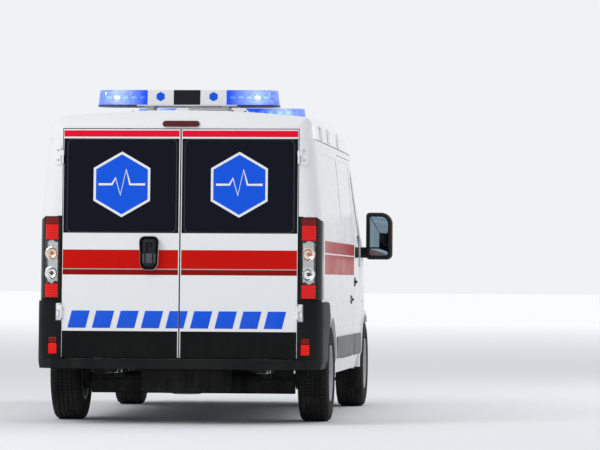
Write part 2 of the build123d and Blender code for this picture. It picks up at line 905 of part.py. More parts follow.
inside_half = body_half_width - wall - seat_gap
rail_side = rail_x + rail_width / 2
floor_front = 1365
floor_bottom = floor_top - floor_thickness
liner_outer = 412
liner_inner = 404
liner_wall = liner_outer - liner_inner
rear_liner_x = 735
front_liner_x = 584
liner_bottom = 470

with BuildPart() as floor_pan:
    add(box_between(
        (-inside_half, from_rear(150), floor_bottom), (inside_half, from_front(floor_front), floor_top)
    ))
    for side in (-1, 1):
        low, top = sorted((side * (rear_liner_x - seat_gap), side * 1000))
        add(box_between(
            (low, rear_axle - liner_outer - seat_gap, 0), (top, rear_axle + liner_outer + seat_gap, 700)
        ), mode=Mode.SUBTRACT)
        low, top = sorted((side * 780, side * 960))
        add(box_between((low, from_rear(100), 0), (top, from_rear(240), 700)), mode=Mode.SUBTRACT)
floor_pan.part.label = "floor_pan"
export_step(floor_pan.part, "parts/floor_pan.step")

with BuildPart() as liner:
    add(wheel_disc(rear_axle, liner_outer, rear_liner_x, inside_half))
    add(wheel_disc(rear_axle, liner_inner, rear_liner_x + liner_wall, far), mode=Mode.SUBTRACT)
    add(box_between((0, rear_axle - 500, -100), (far, rear_axle + 500, liner_bottom)), mode=Mode.SUBTRACT)
    add(wheel_disc(front_axle, liner_outer, front_liner_x, 915))
    add(wheel_disc(front_axle, liner_inner, front_liner_x + liner_wall, 1000), mode=Mode.SUBTRACT)
    add(box_between((0, front_axle - 500, -100), (far, front_axle + 500, liner_bottom)), mode=Mode.SUBTRACT)
    add(box_between(
        (front_liner_x - 10, front_axle - 60, 0), (front_liner_x + 12, front_axle + 60, 520)
    ), mode=Mode.SUBTRACT)
    add(box_between(
        (rail_side + seat_gap, front_axle - 300, liner_bottom), (front_liner_x + 4, front_axle - 100, 490)
    ))
with BuildPart() as wheelhouses:
    add(both_sides(liner.part))
wheelhouses.part.label = "wheelhouses"
export_step(wheelhouses.part, "parts/wheelhouses.step")

rail_top = floor_bottom - seat_gap
rail_low = rail_top - rail_height
rail_end = 160
hanger_bottom = rail_low - 20
spring_half_length = 640
with BuildPart() as chassis_frame:
    for side in (-1, 1):
        low, top = sorted((side * (rail_side - rail_width), side * rail_side))
        add(box_between((low, from_rear(rail_end), rail_low), (top, from_front(rail_end), rail_top)))
    for member_y in (from_rear(200), from_rear(1800), from_rear(2700), from_rear(3600), from_front(200)):
        add(box_between((-rail_x, member_y - 35, rail_low + 10), (rail_x, member_y + 35, rail_top - 10)))
    # The front towing eye screws into a boss beside the right rail
    add(box_between(
        (rail_x - 20, from_front(240), rail_low + 10), (eye_x + 30, from_front(rail_end), rail_top - 10)
    ))
    add(rod(
        (eye_x, from_front(rail_end + eye_bore_length), eye_z), (eye_x, from_front(150), eye_z),
        eye_bore_radius,
    ), mode=Mode.SUBTRACT)
    # Spring hangers under the rails, level with the springs' ends
    for side in (-1, 1):
        for hanger_y in (rear_axle - spring_half_length + 20, rear_axle + spring_half_length - 20):
            low, top = sorted((side * rail_x, side * (rail_x + 90)))
            add(box_between((low, hanger_y - 30, hanger_bottom), (top, hanger_y + 30, rail_low + 60)))
chassis_frame.part.label = "chassis_frame"
export_step(chassis_frame.part, "parts/chassis_frame.step")

spring_x = 540
spring_thickness = 14
spring_width = 70
axle_tube_z = 305
saddle_top = axle_tube_z + 45
spring_end_top = hanger_bottom - seat_gap
spindle_end = 45

axle_beam_half = 740
axle_beam_depth = 84
axle_beam_bottom = 195
damper_x = 655
damper_radius = 29
bump_stop_top = 385

with BuildPart() as rear_axle_beam:
    with Locations((0, rear_axle, (axle_beam_bottom + axle_tube_z) / 2)):
        Box(2 * axle_beam_half, axle_beam_depth, axle_tube_z - axle_beam_bottom)
    fillet(rear_axle_beam.edges().filter_by(Axis.X), 14)
    add(rod((-760, rear_axle, axle_tube_z), (760, rear_axle, axle_tube_z), 38))
    for side in (-1, 1):
        # A damper stands on the axle beside a bump stop, and reaches the floor
        add(rod(
            (side * damper_x, rear_axle, axle_tube_z), (side * damper_x, rear_axle, floor_bottom - seat_gap),
            damper_radius,
        ))
        low, top = sorted((side * (spring_x + 50), side * (axle_beam_half - 12)))
        add(box_between((low, rear_axle - 35, axle_tube_z - 10), (top, rear_axle + 35, bump_stop_top)))
        add(rod((side * 750, rear_axle, tyre_radius), (side * 850, rear_axle, tyre_radius), 120))
        add(rod(
            (side * 770, rear_axle, tyre_radius),
            (side * (wheel_track_rear / 2 + spindle_end), rear_axle, tyre_radius),
            spindle_radius,
        ))
        low, top = sorted((side * (spring_x - 40), side * (spring_x + 40)))
        add(box_between((low, rear_axle - 60, axle_tube_z), (top, rear_axle + 60, saddle_top)))
rear_axle_beam.part.label = "rear_axle"
export_step(rear_axle_beam.part, "parts/rear_axle.step")

with BuildPart() as springs:
    for side in (-1, 1):
        with BuildSketch(Plane.YZ.offset(side * spring_x - spring_width / 2)):
            with BuildLine():
                top = ThreePointArc(
                    (rear_axle - spring_half_length, spring_end_top),
                    (rear_axle, saddle_top + seat_gap + spring_thickness),
                    (rear_axle + spring_half_length, spring_end_top),
                )
                front_end = Line(top @ 1, (rear_axle + spring_half_length, spring_end_top - spring_thickness))
                bottom = ThreePointArc(
                    front_end @ 1,
                    (rear_axle, saddle_top + seat_gap),
                    (rear_axle - spring_half_length, spring_end_top - spring_thickness),
                )
                Line(bottom @ 1, top @ 0)
            make_face()
        extrude(amount=spring_width)
springs.part.label = "leaf_springs"
export_step(springs.part, "parts/leaf_springs.step")

kingpin_x = wheel_track_front / 2 - kingpin_offset
arm_drop = 130
pivot_half = 14
pivot_radius = 30
pin_radius = 14
lower_pivot_z = tyre_radius - arm_drop
upper_pivot_z = tyre_radius + arm_drop

subframe_bottom = rail_low - 90
subframe_half = 545

with BuildPart() as front_suspension:
    add(box_between((-430, front_axle - 130, subframe_bottom), (430, front_axle + 130, rail_low - seat_gap)))
    for side in (-1, 1):
        low, top = sorted((side * 420, side * subframe_half))
        add(box_between(
            (low, front_axle - 130, subframe_bottom), (top, front_axle + 130, rail_low - seat_gap)
        ))
        for pivot_z in (lower_pivot_z, upper_pivot_z):
            kingpin = (side * kingpin_x, front_axle)
            add(rod((*kingpin, pivot_z - pivot_half), (*kingpin, pivot_z + pivot_half), pivot_radius))
            low, top = sorted((side * 520, side * kingpin_x))
            add(box_between((low, front_axle - 20, pivot_z - 12), (top, front_axle + 20, pivot_z + 12)))
            low, top = pivot_z - pivot_half - 1, pivot_z + pivot_half + 1
            add(rod((*kingpin, low), (*kingpin, top), pin_radius + running_gap), mode=Mode.SUBTRACT)
        # A spring leg stands between the lower arm and the upper arm's mount
        leg_top = tyre_radius + liner_inner - liner_wall
        add(rod((side * 640, front_axle, lower_pivot_z), (side * 640, front_axle, leg_top), 40))
        low, top = sorted((side * (rail_side + seat_gap), side * subframe_half))
        add(box_between((low, front_axle - 60, rail_low - 80), (top, front_axle + 60, upper_pivot_z)))
front_suspension.part.label = "front_suspension"
export_step(front_suspension.part, "parts/front_suspension.step")

with BuildPart() as knuckle_right:
    add(rod(
        (kingpin_x, front_axle, lower_pivot_z + pivot_half + seat_gap),
        (kingpin_x, front_axle, upper_pivot_z - pivot_half - seat_gap),
        26,
    ))
    add(rod(
        (kingpin_x, front_axle, lower_pivot_z - 12), (kingpin_x, front_axle, upper_pivot_z + 12), pin_radius
    ))
    add(rod((kingpin_x - 40, front_axle, tyre_radius), (kingpin_x + 10, front_axle, tyre_radius), 60))
    add(rod(
        (kingpin_x, front_axle, tyre_radius),
        (wheel_track_front / 2 + spindle_end, front_axle, tyre_radius),
        spindle_radius,
    ))
knuckle_right.part.label = "knuckle_right"
export_step(knuckle_right.part, "parts/knuckle_right.step")

with BuildPart() as knuckle_left:
    mirror(knuckle_right.part, about=Plane.YZ)
knuckle_left.part.label = "knuckle_left"
export_step(knuckle_left.part, "parts/knuckle_left.step")

# Half of the tyre's section, as (distance from its middle plane, radius)
tyre_section = [
    (0, tyre_radius), (84, tyre_radius - 1), (104, tyre_radius - 16), (tyre_half_width, tyre_radius - 58),
    (tyre_half_width, tyre_radius - 86), (96, rim_radius + 16), (92, rim_radius + seat_gap),
    (0, rim_radius + seat_gap),
]
# The rim's section, as (distance outboard of the tyre's middle plane, radius)
disc_face = 40
hub_face = 52
hub_bore = spindle_radius + running_gap
rim_section = [
    (-rim_lip, rim_lip_radius), (-98, rim_lip_radius), (-96, rim_radius), (-70, rim_radius),
    (-60, rim_well_radius), (disc_face, rim_well_radius), (60, rim_radius), (96, rim_radius),
    (98, rim_lip_radius), (rim_lip, rim_lip_radius), (rim_lip, 186), (66, 182), (50, 168), (50, 150),
    (disc_face, 140), (disc_face, 70), (hub_face, 60), (hub_face, hub_bore), (-15, hub_bore), (-15, 62),
    (28, 70), (28, 140), (36, 152), (36, 168), (-60, 168), (-66, 182), (-rim_lip, 186),
]

with BuildPart() as tyre:
    with BuildSketch(Plane.XY):
        with BuildLine():
            Polyline(
                *tyre_section,
                *[(-x, r) for x, r in tyre_section[-2:0:-1]],
                close=True,
            )
        make_face()
    revolve(axis=Axis.X)

with BuildPart() as rim:
    with BuildSketch(Plane.XY):
        with BuildLine():
            Polyline(*rim_section, close=True)
        make_face()
    revolve(axis=Axis.X)

# Wheels: name, distance across from the middle, axle
wheels = [
    ("rear_right", wheel_track_rear / 2, rear_axle),
    ("rear_left", -wheel_track_rear / 2, rear_axle),
    ("front_right", wheel_track_front / 2, front_axle),
    ("front_left", -wheel_track_front / 2, front_axle),
]
for wheel_name, wheel_x, wheel_y in wheels:
    turn = 0 if wheel_x > 0 else 180
    place = Location((wheel_x, wheel_y, tyre_radius), (0, 0, turn))
    for kind, form in (("tyre", tyre.part), ("rim", rim.part)):
        with BuildPart() as placed:
            with Locations(place):
                add(form)
        placed.part.label = f"{kind}_{wheel_name}"
        export_step(placed.part, f"parts/{kind}_{wheel_name}.step")

with BuildPart() as engine:
    add(box_between((-400, from_front(1000), rail_low), (400, from_front(260), 850)))
engine.part.label = "engine"
export_step(engine.part, "parts/engine.step")

with BuildPart() as fuel_tank:
    add(box_between(
        (-100, from_rear(1850), 270), (rail_side - rail_width - seat_gap, from_rear(2650), rail_top - 20)
    ))
    fillet(fuel_tank.edges().filter_by(Axis.Z), 40)
fuel_tank.part.label = "fuel_tank"
export_step(fuel_tank.part, "parts/fuel_tank.step")

exhaust_x = -320
exhaust_z = 330
pipe_radius = 28
tail_end = from_rear(1620)

with BuildPart() as exhaust:
    add(rod((exhaust_x, tail_end, exhaust_z), (exhaust_x, from_rear(3900), exhaust_z), pipe_radius))
    with Locations((exhaust_x, from_rear(3200), exhaust_z)):
        Cylinder(85, 600, rotation=(90, 0, 0))
    add(box_between(
        (exhaust_x - 15, from_rear(2685), exhaust_z),
        (exhaust_x + 15, from_rear(2715), rail_low + 10 - seat_gap),
    ))
    add(rod(
        (exhaust_x, tail_end, exhaust_z), (exhaust_x, tail_end + 40, exhaust_z), pipe_radius - 6
    ), mode=Mode.SUBTRACT)
exhaust.part.label = "exhaust"
export_step(exhaust.part, "parts/exhaust.step")

spare_y = from_rear(575)
spare_low = 215
spare_width = 180

with BuildPart() as spare_wheel:
    with Locations((0, spare_y, spare_low + spare_width / 2)):
        Cylinder(325, spare_width)
    fillet(spare_wheel.edges(), 30)
    with Locations((0, spare_y, spare_low + 10)):
        Cylinder(180, 80, mode=Mode.SUBTRACT)
    add(rod((0, spare_y, spare_low + 100), (0, spare_y, floor_bottom - seat_gap), 16))
spare_wheel.part.label = "spare_wheel"
export_step(spare_wheel.part, "parts/spare_wheel.step")


def cladding(points):
    """A strip of side cladding seen from the side, on the right."""
    with BuildPart() as made:
        add(trim_skin)
        add(side_prism(aft(points), 800, far), mode=Mode.INTERSECT)
    return made.part


clad_low = 444
clad_top = 602
clad_rear = 1440
clad_rear_top = 1560
handle_depth = 22
door_rear = length - b_pillar - sliding_door_length
door_front = length - b_pillar


def band(start, end, start_top=None):
    """A strip between two distances ahead of the rear, which may slant at its rear end."""
    return [(start, clad_low), (end, clad_low), (end, clad_top), (start_top or start, clad_top)]


with BuildPart() as side_cladding:
    add(cladding(band(clad_rear, door_rear - shut_gap, clad_rear_top)))
    add(cladding(band(door_rear, door_front)))
    add(box_between(
        (body_half_width + seat_gap, from_rear(2960), 855),
        (body_half_width + handle_depth, from_rear(3090), 890),
    ))
    mirror(cladding(band(clad_rear, door_front, clad_rear_top)), about=Plane.YZ)
side_cladding.part.label = "side_cladding"
export_step(side_cladding.part, "parts/side_cladding.step")

with BuildPart() as cab_trim_right:
    add(cladding(band(length - b_pillar + 67, 4010)))
    add(wheel_disc(front_axle, arch_radius + arch_lip + shut_gap, 700, far), mode=Mode.SUBTRACT)
    add(box_between(
        (body_half_width + seat_gap, from_front(2050), 990),
        (body_half_width + handle_depth, from_front(1940), 1030),
    ))
cab_trim_right.part.label = "cab_trim_right"
export_step(cab_trim_right.part, "parts/cab_trim_right.step")

with BuildPart() as cab_trim_left:
    mirror(cab_trim_right.part, about=Plane.YZ)
cab_trim_left.part.label = "cab_trim_left"
export_step(cab_trim_left.part, "parts/cab_trim_left.step")

rear_handle_low = 1089
rear_handle_top = 1317
rear_handle_width = 129

with BuildPart() as rear_handle:
    with BuildSketch(Plane.YZ.offset(-279)):
        with BuildLine():
            Polyline(
                (rear_face_y(rear_handle_low) - seat_gap, rear_handle_low),
                (rear_face_y(rear_handle_top) - seat_gap, rear_handle_top),
                (rear_face_y(rear_handle_top) - 29, rear_handle_top - 17),
                (rear_face_y(rear_handle_low) - 27, rear_handle_low + 16),
                close=True,
            )
        make_face()
    extrude(amount=rear_handle_width)
rear_handle.part.label = "rear_door_handle"
export_step(rear_handle.part, "parts/rear_door_handle.step")

mirror_y = from_rear(4100)
mirror_inner = 1043
mirror_height = 378

with BuildPart() as mirror_right:
    with Locations(((mirror_inner + mirror_reach) / 2, mirror_y, 1380)):
        Box(mirror_reach - mirror_inner, 120, mirror_height)
    fore_and_aft = mirror_right.edges().filter_by(Axis.Y).group_by(Axis.X)
    fillet(fore_and_aft[0], 30)
    outer_corners = mirror_right.edges().filter_by(Axis.Y).group_by(Axis.X)[-1].sort_by(Axis.Z)
    fillet(outer_corners[-1], 90)
    fillet(outer_corners[0], 45)
    fillet(mirror_right.faces().sort_by(Axis.Y)[0].edges(), 26)
    fillet(mirror_right.faces().sort_by(Axis.Y)[-1].edges(), 26)
    add(box_between((body_half_width + seat_gap, mirror_y - 35, 1205), (1060, mirror_y + 35, 1290)))
mirror_right.part.label = "mirror_right"
export_step(mirror_right.part, "parts/mirror_right.step")

with BuildPart() as mirror_left:
    mirror(mirror_right.part, about=Plane.YZ)
mirror_left.part.label = "mirror_left"
export_step(mirror_left.part, "parts/mirror_left.step")

# Cab
driver_x = -430
column_radius = 25
steering_centre = (driver_x, from_front(1530), 1160)
steering_axis = (0, -200, 130)
ring_radius = 185
dashboard_half = 925
dashboard_outline = fore([(900, 880), (1380, 860), (1450, 900), (1450, 1060), (1400, 1150), (900, 1150)])

with BuildPart() as dashboard:
    with BuildSketch(Plane.YZ.offset(-dashboard_half)):
        with BuildLine():
            Polyline(*dashboard_outline, close=True)
        make_face()
    extrude(amount=2 * dashboard_half)
    add(box_between((-140, from_front(1440), floor_top + seat_gap), (140, from_front(1375), 900)))
    add(rod(
        steering_centre, (driver_x, from_front(1330), 1030), column_radius + seat_gap
    ), mode=Mode.SUBTRACT)
dashboard.part.label = "dashboard"
export_step(dashboard.part, "parts/dashboard.step")

with BuildPart() as steering_wheel:
    add(rod(steering_centre, (driver_x, from_front(1332), 1031.3), column_radius))
    tilt = Plane(origin=steering_centre, x_dir=(1, 0, 0), z_dir=steering_axis)
    with BuildSketch(Plane(origin=tilt.origin, x_dir=(1, 0, 0), z_dir=tilt.y_dir)):
        with Locations((ring_radius, 0)):
            Circle(15)
    revolve(axis=Axis(tilt.origin, tilt.z_dir))
    with BuildSketch(tilt):
        Circle(45)
        Rectangle(2 * ring_radius - 10, 40)
    extrude(amount=12, both=True)
steering_wheel.part.label = "steering_wheel"
export_step(steering_wheel.part, "parts/steering_wheel.step")

seat_side = fore([
    (1620, floor_top + seat_gap), (2060, floor_top + seat_gap), (2060, 860), (2135, 1480), (2140, 1640),
    (2070, 1640), (2060, 1480), (1990, 960), (1600, 960), (1600, 860), (1620, 860),
])
seat_widths = [(driver_x - 250, driver_x + 250), (60, 500), (510, 880)]

with BuildPart() as seats:
    for x_from, x_to in seat_widths:
        add(side_prism(seat_side, x_from, x_to))
seats.part.label = "seats"
export_step(seats.part, "parts/seats.step")

# The wall behind the seats, with a hatch in its middle
bulkhead_front = 2165
bulkhead_thickness = 25
bulkhead_inset = wall + 2
hatch_points = [(-250, 1300), (250, 1300), (250, 1650), (-250, 1650)]

with BuildPart() as bulkhead:
    section = roof_section(from_front(bulkhead_front), brow_rise(bulkhead_front), bulkhead_inset)
    extrude(section, amount=bulkhead_thickness, dir=(0, -1, 0))
    extrude(side_section(bulkhead_inset), amount=length + 400, dir=(0, 1, 0), mode=Mode.INTERSECT)
    add(box_between((-far, rear, floor_top + seat_gap), (far, front, high)), mode=Mode.INTERSECT)
    add(end_prism(hatch_points, rear, front, 40), mode=Mode.SUBTRACT)
bulkhead.part.label = "bulkhead"
export_step(bulkhead.part, "parts/bulkhead.step")

vent_y = from_rear(2190)
vent_width = 540
vent_depth = 460
vent_shoulder = 2290
vent_top = 2345
vent_slope = 60

with BuildPart() as roof_vent:
    with Locations((0, vent_y, vent_shoulder - 50)):
        Box(vent_width, vent_depth, 100)
    with BuildSketch(Plane.XY.offset(vent_shoulder)):
        with Locations((0, vent_y)):
            Rectangle(vent_width, vent_depth)
    with BuildSketch(Plane.XY.offset(vent_top)):
        with Locations((0, vent_y)):
            Rectangle(vent_width - 2 * vent_slope, vent_depth - 2 * vent_slope)
    loft()
    add(seat, mode=Mode.SUBTRACT)
roof_vent.part.label = "roof_vent"
export_step(roof_vent.part, "parts/roof_vent.step")

bar_half = 655
bar_foot_x = 270
bar_foot_width = 50
bar_foot_bottom = 2180
# Light bars: rear edge ahead of the rear, depth, base bottom, base top, lens top
light_bars = [(475, 300, 2258, 2267, 2373), (2700, 270, 2268, 2278, 2345)]

with BuildPart() as light_bar_bases:
    for bar_rear, depth, low, base_top, lens_top in light_bars:
        with BuildSketch(Plane.XY.offset(low)):
            with Locations((0, from_rear(bar_rear + depth / 2))):
                RectangleRounded(2 * bar_half, depth, depth / 2 - 20)
        extrude(amount=base_top - low)
        for side in (-1, 1):
            with Locations((side * bar_foot_x, from_rear(bar_rear + depth / 2), (low + bar_foot_bottom) / 2)):
                Box(bar_foot_width, depth - 80, low - bar_foot_bottom + 2)
    add(seat, mode=Mode.SUBTRACT)
light_bar_bases.part.label = "light_bar_bases"
export_step(light_bar_bases.part, "parts/light_bar_bases.step")

with BuildPart() as light_bar_lenses:
    for bar_rear, depth, low, base_top, lens_top in light_bars:
        with BuildSketch(Plane.XY.offset(base_top + seat_gap)):
            with Locations((0, from_rear(bar_rear + depth / 2))):
                RectangleRounded(2 * bar_half - 6, depth - 6, depth / 2 - 23)
        extrude(amount=lens_top - base_top - seat_gap, taper=6)
light_bar_lenses.part.label = "light_bar_lenses"
export_step(light_bar_lenses.part, "parts/light_bar_lenses.step")
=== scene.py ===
"""An ambulance on a panel van, finished around its construction model. Metres, Z up, front toward +Y."""

import math

import bpy
from mathutils import Matrix, Vector
from mathutils.bvhtree import BVHTree


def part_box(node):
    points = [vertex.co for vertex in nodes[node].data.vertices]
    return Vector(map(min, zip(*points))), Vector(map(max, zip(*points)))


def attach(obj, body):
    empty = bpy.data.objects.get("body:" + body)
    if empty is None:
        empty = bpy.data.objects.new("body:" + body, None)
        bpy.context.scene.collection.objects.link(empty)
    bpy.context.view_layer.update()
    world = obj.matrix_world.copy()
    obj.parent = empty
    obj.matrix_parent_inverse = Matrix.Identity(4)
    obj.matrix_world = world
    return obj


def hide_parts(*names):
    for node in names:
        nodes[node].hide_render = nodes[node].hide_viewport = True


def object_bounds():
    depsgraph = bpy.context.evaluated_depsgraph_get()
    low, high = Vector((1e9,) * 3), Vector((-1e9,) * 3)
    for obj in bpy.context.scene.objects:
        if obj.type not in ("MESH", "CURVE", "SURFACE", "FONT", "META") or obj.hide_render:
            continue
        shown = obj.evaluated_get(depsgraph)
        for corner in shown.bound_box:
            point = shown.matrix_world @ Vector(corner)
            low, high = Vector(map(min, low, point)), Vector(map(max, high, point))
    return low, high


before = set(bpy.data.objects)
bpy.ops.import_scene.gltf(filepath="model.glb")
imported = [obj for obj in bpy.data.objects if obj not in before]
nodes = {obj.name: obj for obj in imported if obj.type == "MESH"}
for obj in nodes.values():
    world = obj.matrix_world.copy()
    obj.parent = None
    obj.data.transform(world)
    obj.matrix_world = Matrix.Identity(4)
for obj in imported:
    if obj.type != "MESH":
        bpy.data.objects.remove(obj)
construction_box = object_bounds()


# Camera: a long lens 26 m behind the van and a little to its right, at the height of a
# following driver's eyes. The tilt and roll are those of a hand-held picture.
camera_place = (3.093, -28.8825, 1.011)
camera_yaw = 4.88
camera_pitch = 0.86
camera_roll = 0.34
focal_length_in_pixels = 3760
picture_width = 600
sensor_width = 36
view_reach = 500


def place_camera():
    turn = (math.radians(90 + camera_pitch), math.radians(-camera_roll), math.radians(camera_yaw))
    bpy.ops.object.camera_add(location=camera_place, rotation=turn)
    camera = bpy.context.object
    camera.data.sensor_width = sensor_width
    camera.data.lens = focal_length_in_pixels / picture_width * sensor_width
    camera.data.clip_end = view_reach
    bpy.context.scene.camera = camera
    bpy.context.scene.view_settings.view_transform = "Standard"


bpy.ops.object.select_all(action="DESELECT")
place_camera()


# Stage: a plain pale floor under an overcast white sky, with one broad soft lamp high behind
# the left rear corner and a weaker one in front, so that the far sides aren't dark.
floor_colour = (0.90, 0.91, 0.92, 1)
sky_colour = (0.87, 0.89, 0.92, 1)
sky_light = (0.93, 0.96, 1.0, 1)
sky_light_strength = 0.62
floor_size = 600
floor_fade_start, floor_fade_end = 6, 60
lamps = (
    ("key_lamp", (-7, -10, 9), (0, -1, 1), 7, 620),
    ("fill_lamp", (9, 5, 7), (0, 0, 1), 8, 420),
)


def feed(tree, socket, value):
    """Links an output to a socket, or sets the socket to a plain value."""
    if hasattr(value, "is_output"):
        tree.links.new(value, socket)
    else:
        socket.default_value = (*value[:3], 1) if socket.type == "RGBA" else value


def add_node(tree, kind, **settings):
    """A node with its settings, and values for inputs written as in_0=..., in_Scale=..."""
    node = tree.nodes.new(kind)
    for key, value in settings.items():
        if key.startswith("in_"):
            socket = key[3:]
            feed(tree, node.inputs[int(socket) if socket.isdigit() else socket.replace("_", " ")], value)
        else:
            setattr(node, key, value)
    return node


def calc(tree, operation, *values):
    """The result of one Math node."""
    inputs = {f"in_{number}": value for number, value in enumerate(values)}
    return add_node(tree, "ShaderNodeMath", operation=operation, **inputs).outputs[0]


def ramp(tree, value, low, high, start=0, end=1):
    """The start where value is at low, the end where it is at high, and an even change between."""
    return add_node(
        tree, "ShaderNodeMapRange", in_0=value, in_1=low, in_2=high, in_3=start, in_4=end
    ).outputs[0]


def over(tree, base, colour, mask):
    """The colour laid over the base where the mask is 1."""
    return add_node(tree, "ShaderNodeMix", data_type="RGBA", in_0=mask, in_6=base, in_7=colour).outputs[2]


def own_place(tree):
    """The Object coordinates of the piece."""
    return add_node(tree, "ShaderNodeTexCoord").outputs["Object"]


def wire(material, **values):
    """Sets sockets of a material's shader, or links outputs to them."""
    tree = material.node_tree
    for socket, value in values.items():
        feed(tree, tree.nodes["Principled BSDF"].inputs[socket.replace("_", " ")], value)
    return material


def finish(name, colour, roughness=0.5, **sockets):
    """A material of one Principled shader, with its plain values on the shader's own sockets."""
    material = bpy.data.materials.new(name)
    material.use_nodes = True
    return wire(material, Base_Color=colour, Roughness=roughness, **sockets)


def dress(piece, material):
    """Gives a piece one material in place of those it has."""
    piece.data.materials.clear()
    piece.data.materials.append(material)


def lay_floor():
    """The floor fades into the sky well away from the van, so that no dark horizon shows behind it."""
    bpy.ops.mesh.primitive_plane_add(size=floor_size)
    floor = bpy.context.object
    floor.name = "floor"
    material = finish("floor", floor_colour, 0.9, Emission_Color=sky_colour)
    tree = material.node_tree
    reach = add_node(tree, "ShaderNodeVectorMath", operation="LENGTH", in_0=own_place(tree))
    fade = ramp(tree, reach.outputs["Value"], floor_fade_start, floor_fade_end)
    glow = calc(tree, "MULTIPLY", fade, add_node(tree, "ShaderNodeLightPath").outputs["Is Camera Ray"])
    wire(material, Base_Color=over(tree, floor_colour, (0, 0, 0), glow), Emission_Strength=glow)
    dress(floor, material)


def hang_sky():
    """One white for what the camera, the glass and the paint see, and a weaker one that lights the van."""
    world = bpy.data.worlds.new("overcast")
    bpy.context.scene.world = world
    world.use_nodes = True
    tree = world.node_tree
    tree.nodes.clear()
    seen = add_node(tree, "ShaderNodeBackground", in_Color=sky_colour)
    lighting = add_node(tree, "ShaderNodeBackground", in_Color=sky_light, in_Strength=sky_light_strength)
    path = add_node(tree, "ShaderNodeLightPath")
    straight = path.outputs["Is Camera Ray"]
    for ray in ("Is Transmission Ray", "Is Glossy Ray"):
        straight = calc(tree, "MAXIMUM", straight, path.outputs[ray])
    mix = add_node(
        tree, "ShaderNodeMixShader", in_0=straight, in_1=lighting.outputs[0], in_2=seen.outputs[0]
    )
    add_node(tree, "ShaderNodeOutputWorld", in_Surface=mix.outputs[0])


def hang_lamp(name, place, target, size, watts):
    bpy.ops.object.light_add(type="AREA", location=place)
    lamp = bpy.context.object
    lamp.name = name
    lamp.data.size = size
    lamp.data.energy = watts
    lamp.rotation_euler = (Vector(target) - Vector(place)).to_track_quat("-Z", "Y").to_euler()


lay_floor()
hang_sky()
for lamp in lamps:
    hang_lamp(*lamp)


# Painted steel body: white two-pack paint over primer, with a clear coat. A red band with a
# thin white line runs along the load space, and road dirt gathers along the sills.
paint_white = (0.86, 0.865, 0.87)
paint_grain, paint_depth = 420, 0.04
band_red = (0.42, 0.005, 0.004)
band_low, band_line, band_high = 1.062, 1.204, 1.300
band_line_width = 0.010
band_back, band_front = -2.300, 0.620
band_reach = 0.985
seal_front = -2.520
seals = (((0.832, 0.870), (0.862, 1.466)), ((0.832, 1.010), (0.850, 0.890)))
underseal_top, underseal_reach = 0.500, 0.900
underseal_black = (0.012, 0.012, 0.012)
dirt_colour = (0.30, 0.28, 0.25)
dirt_foot = 0.15
dirt_streaks = (7, 7, 2.2)


def both(tree, one, other):
    """1 where two masks are 1."""
    return calc(tree, "MULTIPLY", one, other)


def between(tree, value, low, high, soft=0.0005):
    """1 where value lies between low and high, and 0 elsewhere."""
    return both(
        tree, ramp(tree, value, low - soft, low + soft), ramp(tree, value, high - soft, high + soft, 1, 0)
    )


def group(name, inputs, outputs):
    """An empty shader node group with named sockets. It returns its tree and its input node's outputs."""
    tree = bpy.data.node_groups.new(name, "ShaderNodeTree")
    for socket, kind, value in inputs:
        tree.interface.new_socket(socket, in_out="INPUT", socket_type=kind).default_value = value
    for socket, kind in outputs:
        tree.interface.new_socket(socket, in_out="OUTPUT", socket_type=kind)
    return tree, tree.nodes.new("NodeGroupInput").outputs


def road_dirt_group():
    """Dust and spray that thin out upward: a colour over the paint, and a mask for roughness."""
    tree, given = group(
        "road_dirt",
        [
            ("Color", "NodeSocketColor", (0.8, 0.8, 0.8, 1)),
            ("Dirt", "NodeSocketColor", (*dirt_colour, 1)),
            ("Top", "NodeSocketFloat", 0.9),
            ("Amount", "NodeSocketFloat", 0.35),
        ],
        [("Color", "NodeSocketColor"), ("Mask", "NodeSocketFloat")],
    )
    place = own_place(tree)
    height = add_node(tree, "ShaderNodeSeparateXYZ", in_0=place).outputs["Z"]
    fall = ramp(tree, height, dirt_foot, given["Top"], 1, 0)
    streaks = add_node(tree, "ShaderNodeMapping", in_0=place, in_Scale=dirt_streaks).outputs[0]
    cloud = add_node(tree, "ShaderNodeTexNoise", in_0=streaks, in_Scale=1.6, in_Detail=7, in_Roughness=0.62)
    spots = ramp(tree, cloud.outputs[0], 0.34, 0.72)
    wet = both(tree, both(tree, fall, spots), given["Amount"])
    mask = add_node(tree, "ShaderNodeClamp", in_0=wet).outputs[0]
    add_node(tree, "NodeGroupOutput", in_Color=over(tree, given["Color"], given["Dirt"], mask), in_Mask=mask)
    return tree


def surface_group():
    """The slight unevenness of a sprayed or moulded surface: a normal, and a mask that varies over it."""
    tree, given = group(
        "surface_texture",
        [
            ("Scale", "NodeSocketFloat", 300.0),
            ("Depth", "NodeSocketFloat", 0.05),
            ("Blotch", "NodeSocketFloat", 2.0),
        ],
        [("Normal", "NodeSocketVector"), ("Mask", "NodeSocketFloat")],
    )
    place = own_place(tree)
    grain = add_node(tree, "ShaderNodeTexNoise", in_0=place, in_Scale=given["Scale"], in_Detail=3).outputs[0]
    bump = add_node(
        tree, "ShaderNodeBump", in_Strength=given["Depth"], in_Distance=0.002, in_Height=grain
    )
    blotch = add_node(tree, "ShaderNodeTexNoise", in_0=place, in_Scale=given["Blotch"], in_Detail=5)
    add_node(tree, "NodeGroupOutput", in_Normal=bump.outputs[0], in_Mask=blotch.outputs[0])
    return tree


road_dirt = road_dirt_group()
surface_texture = surface_group()


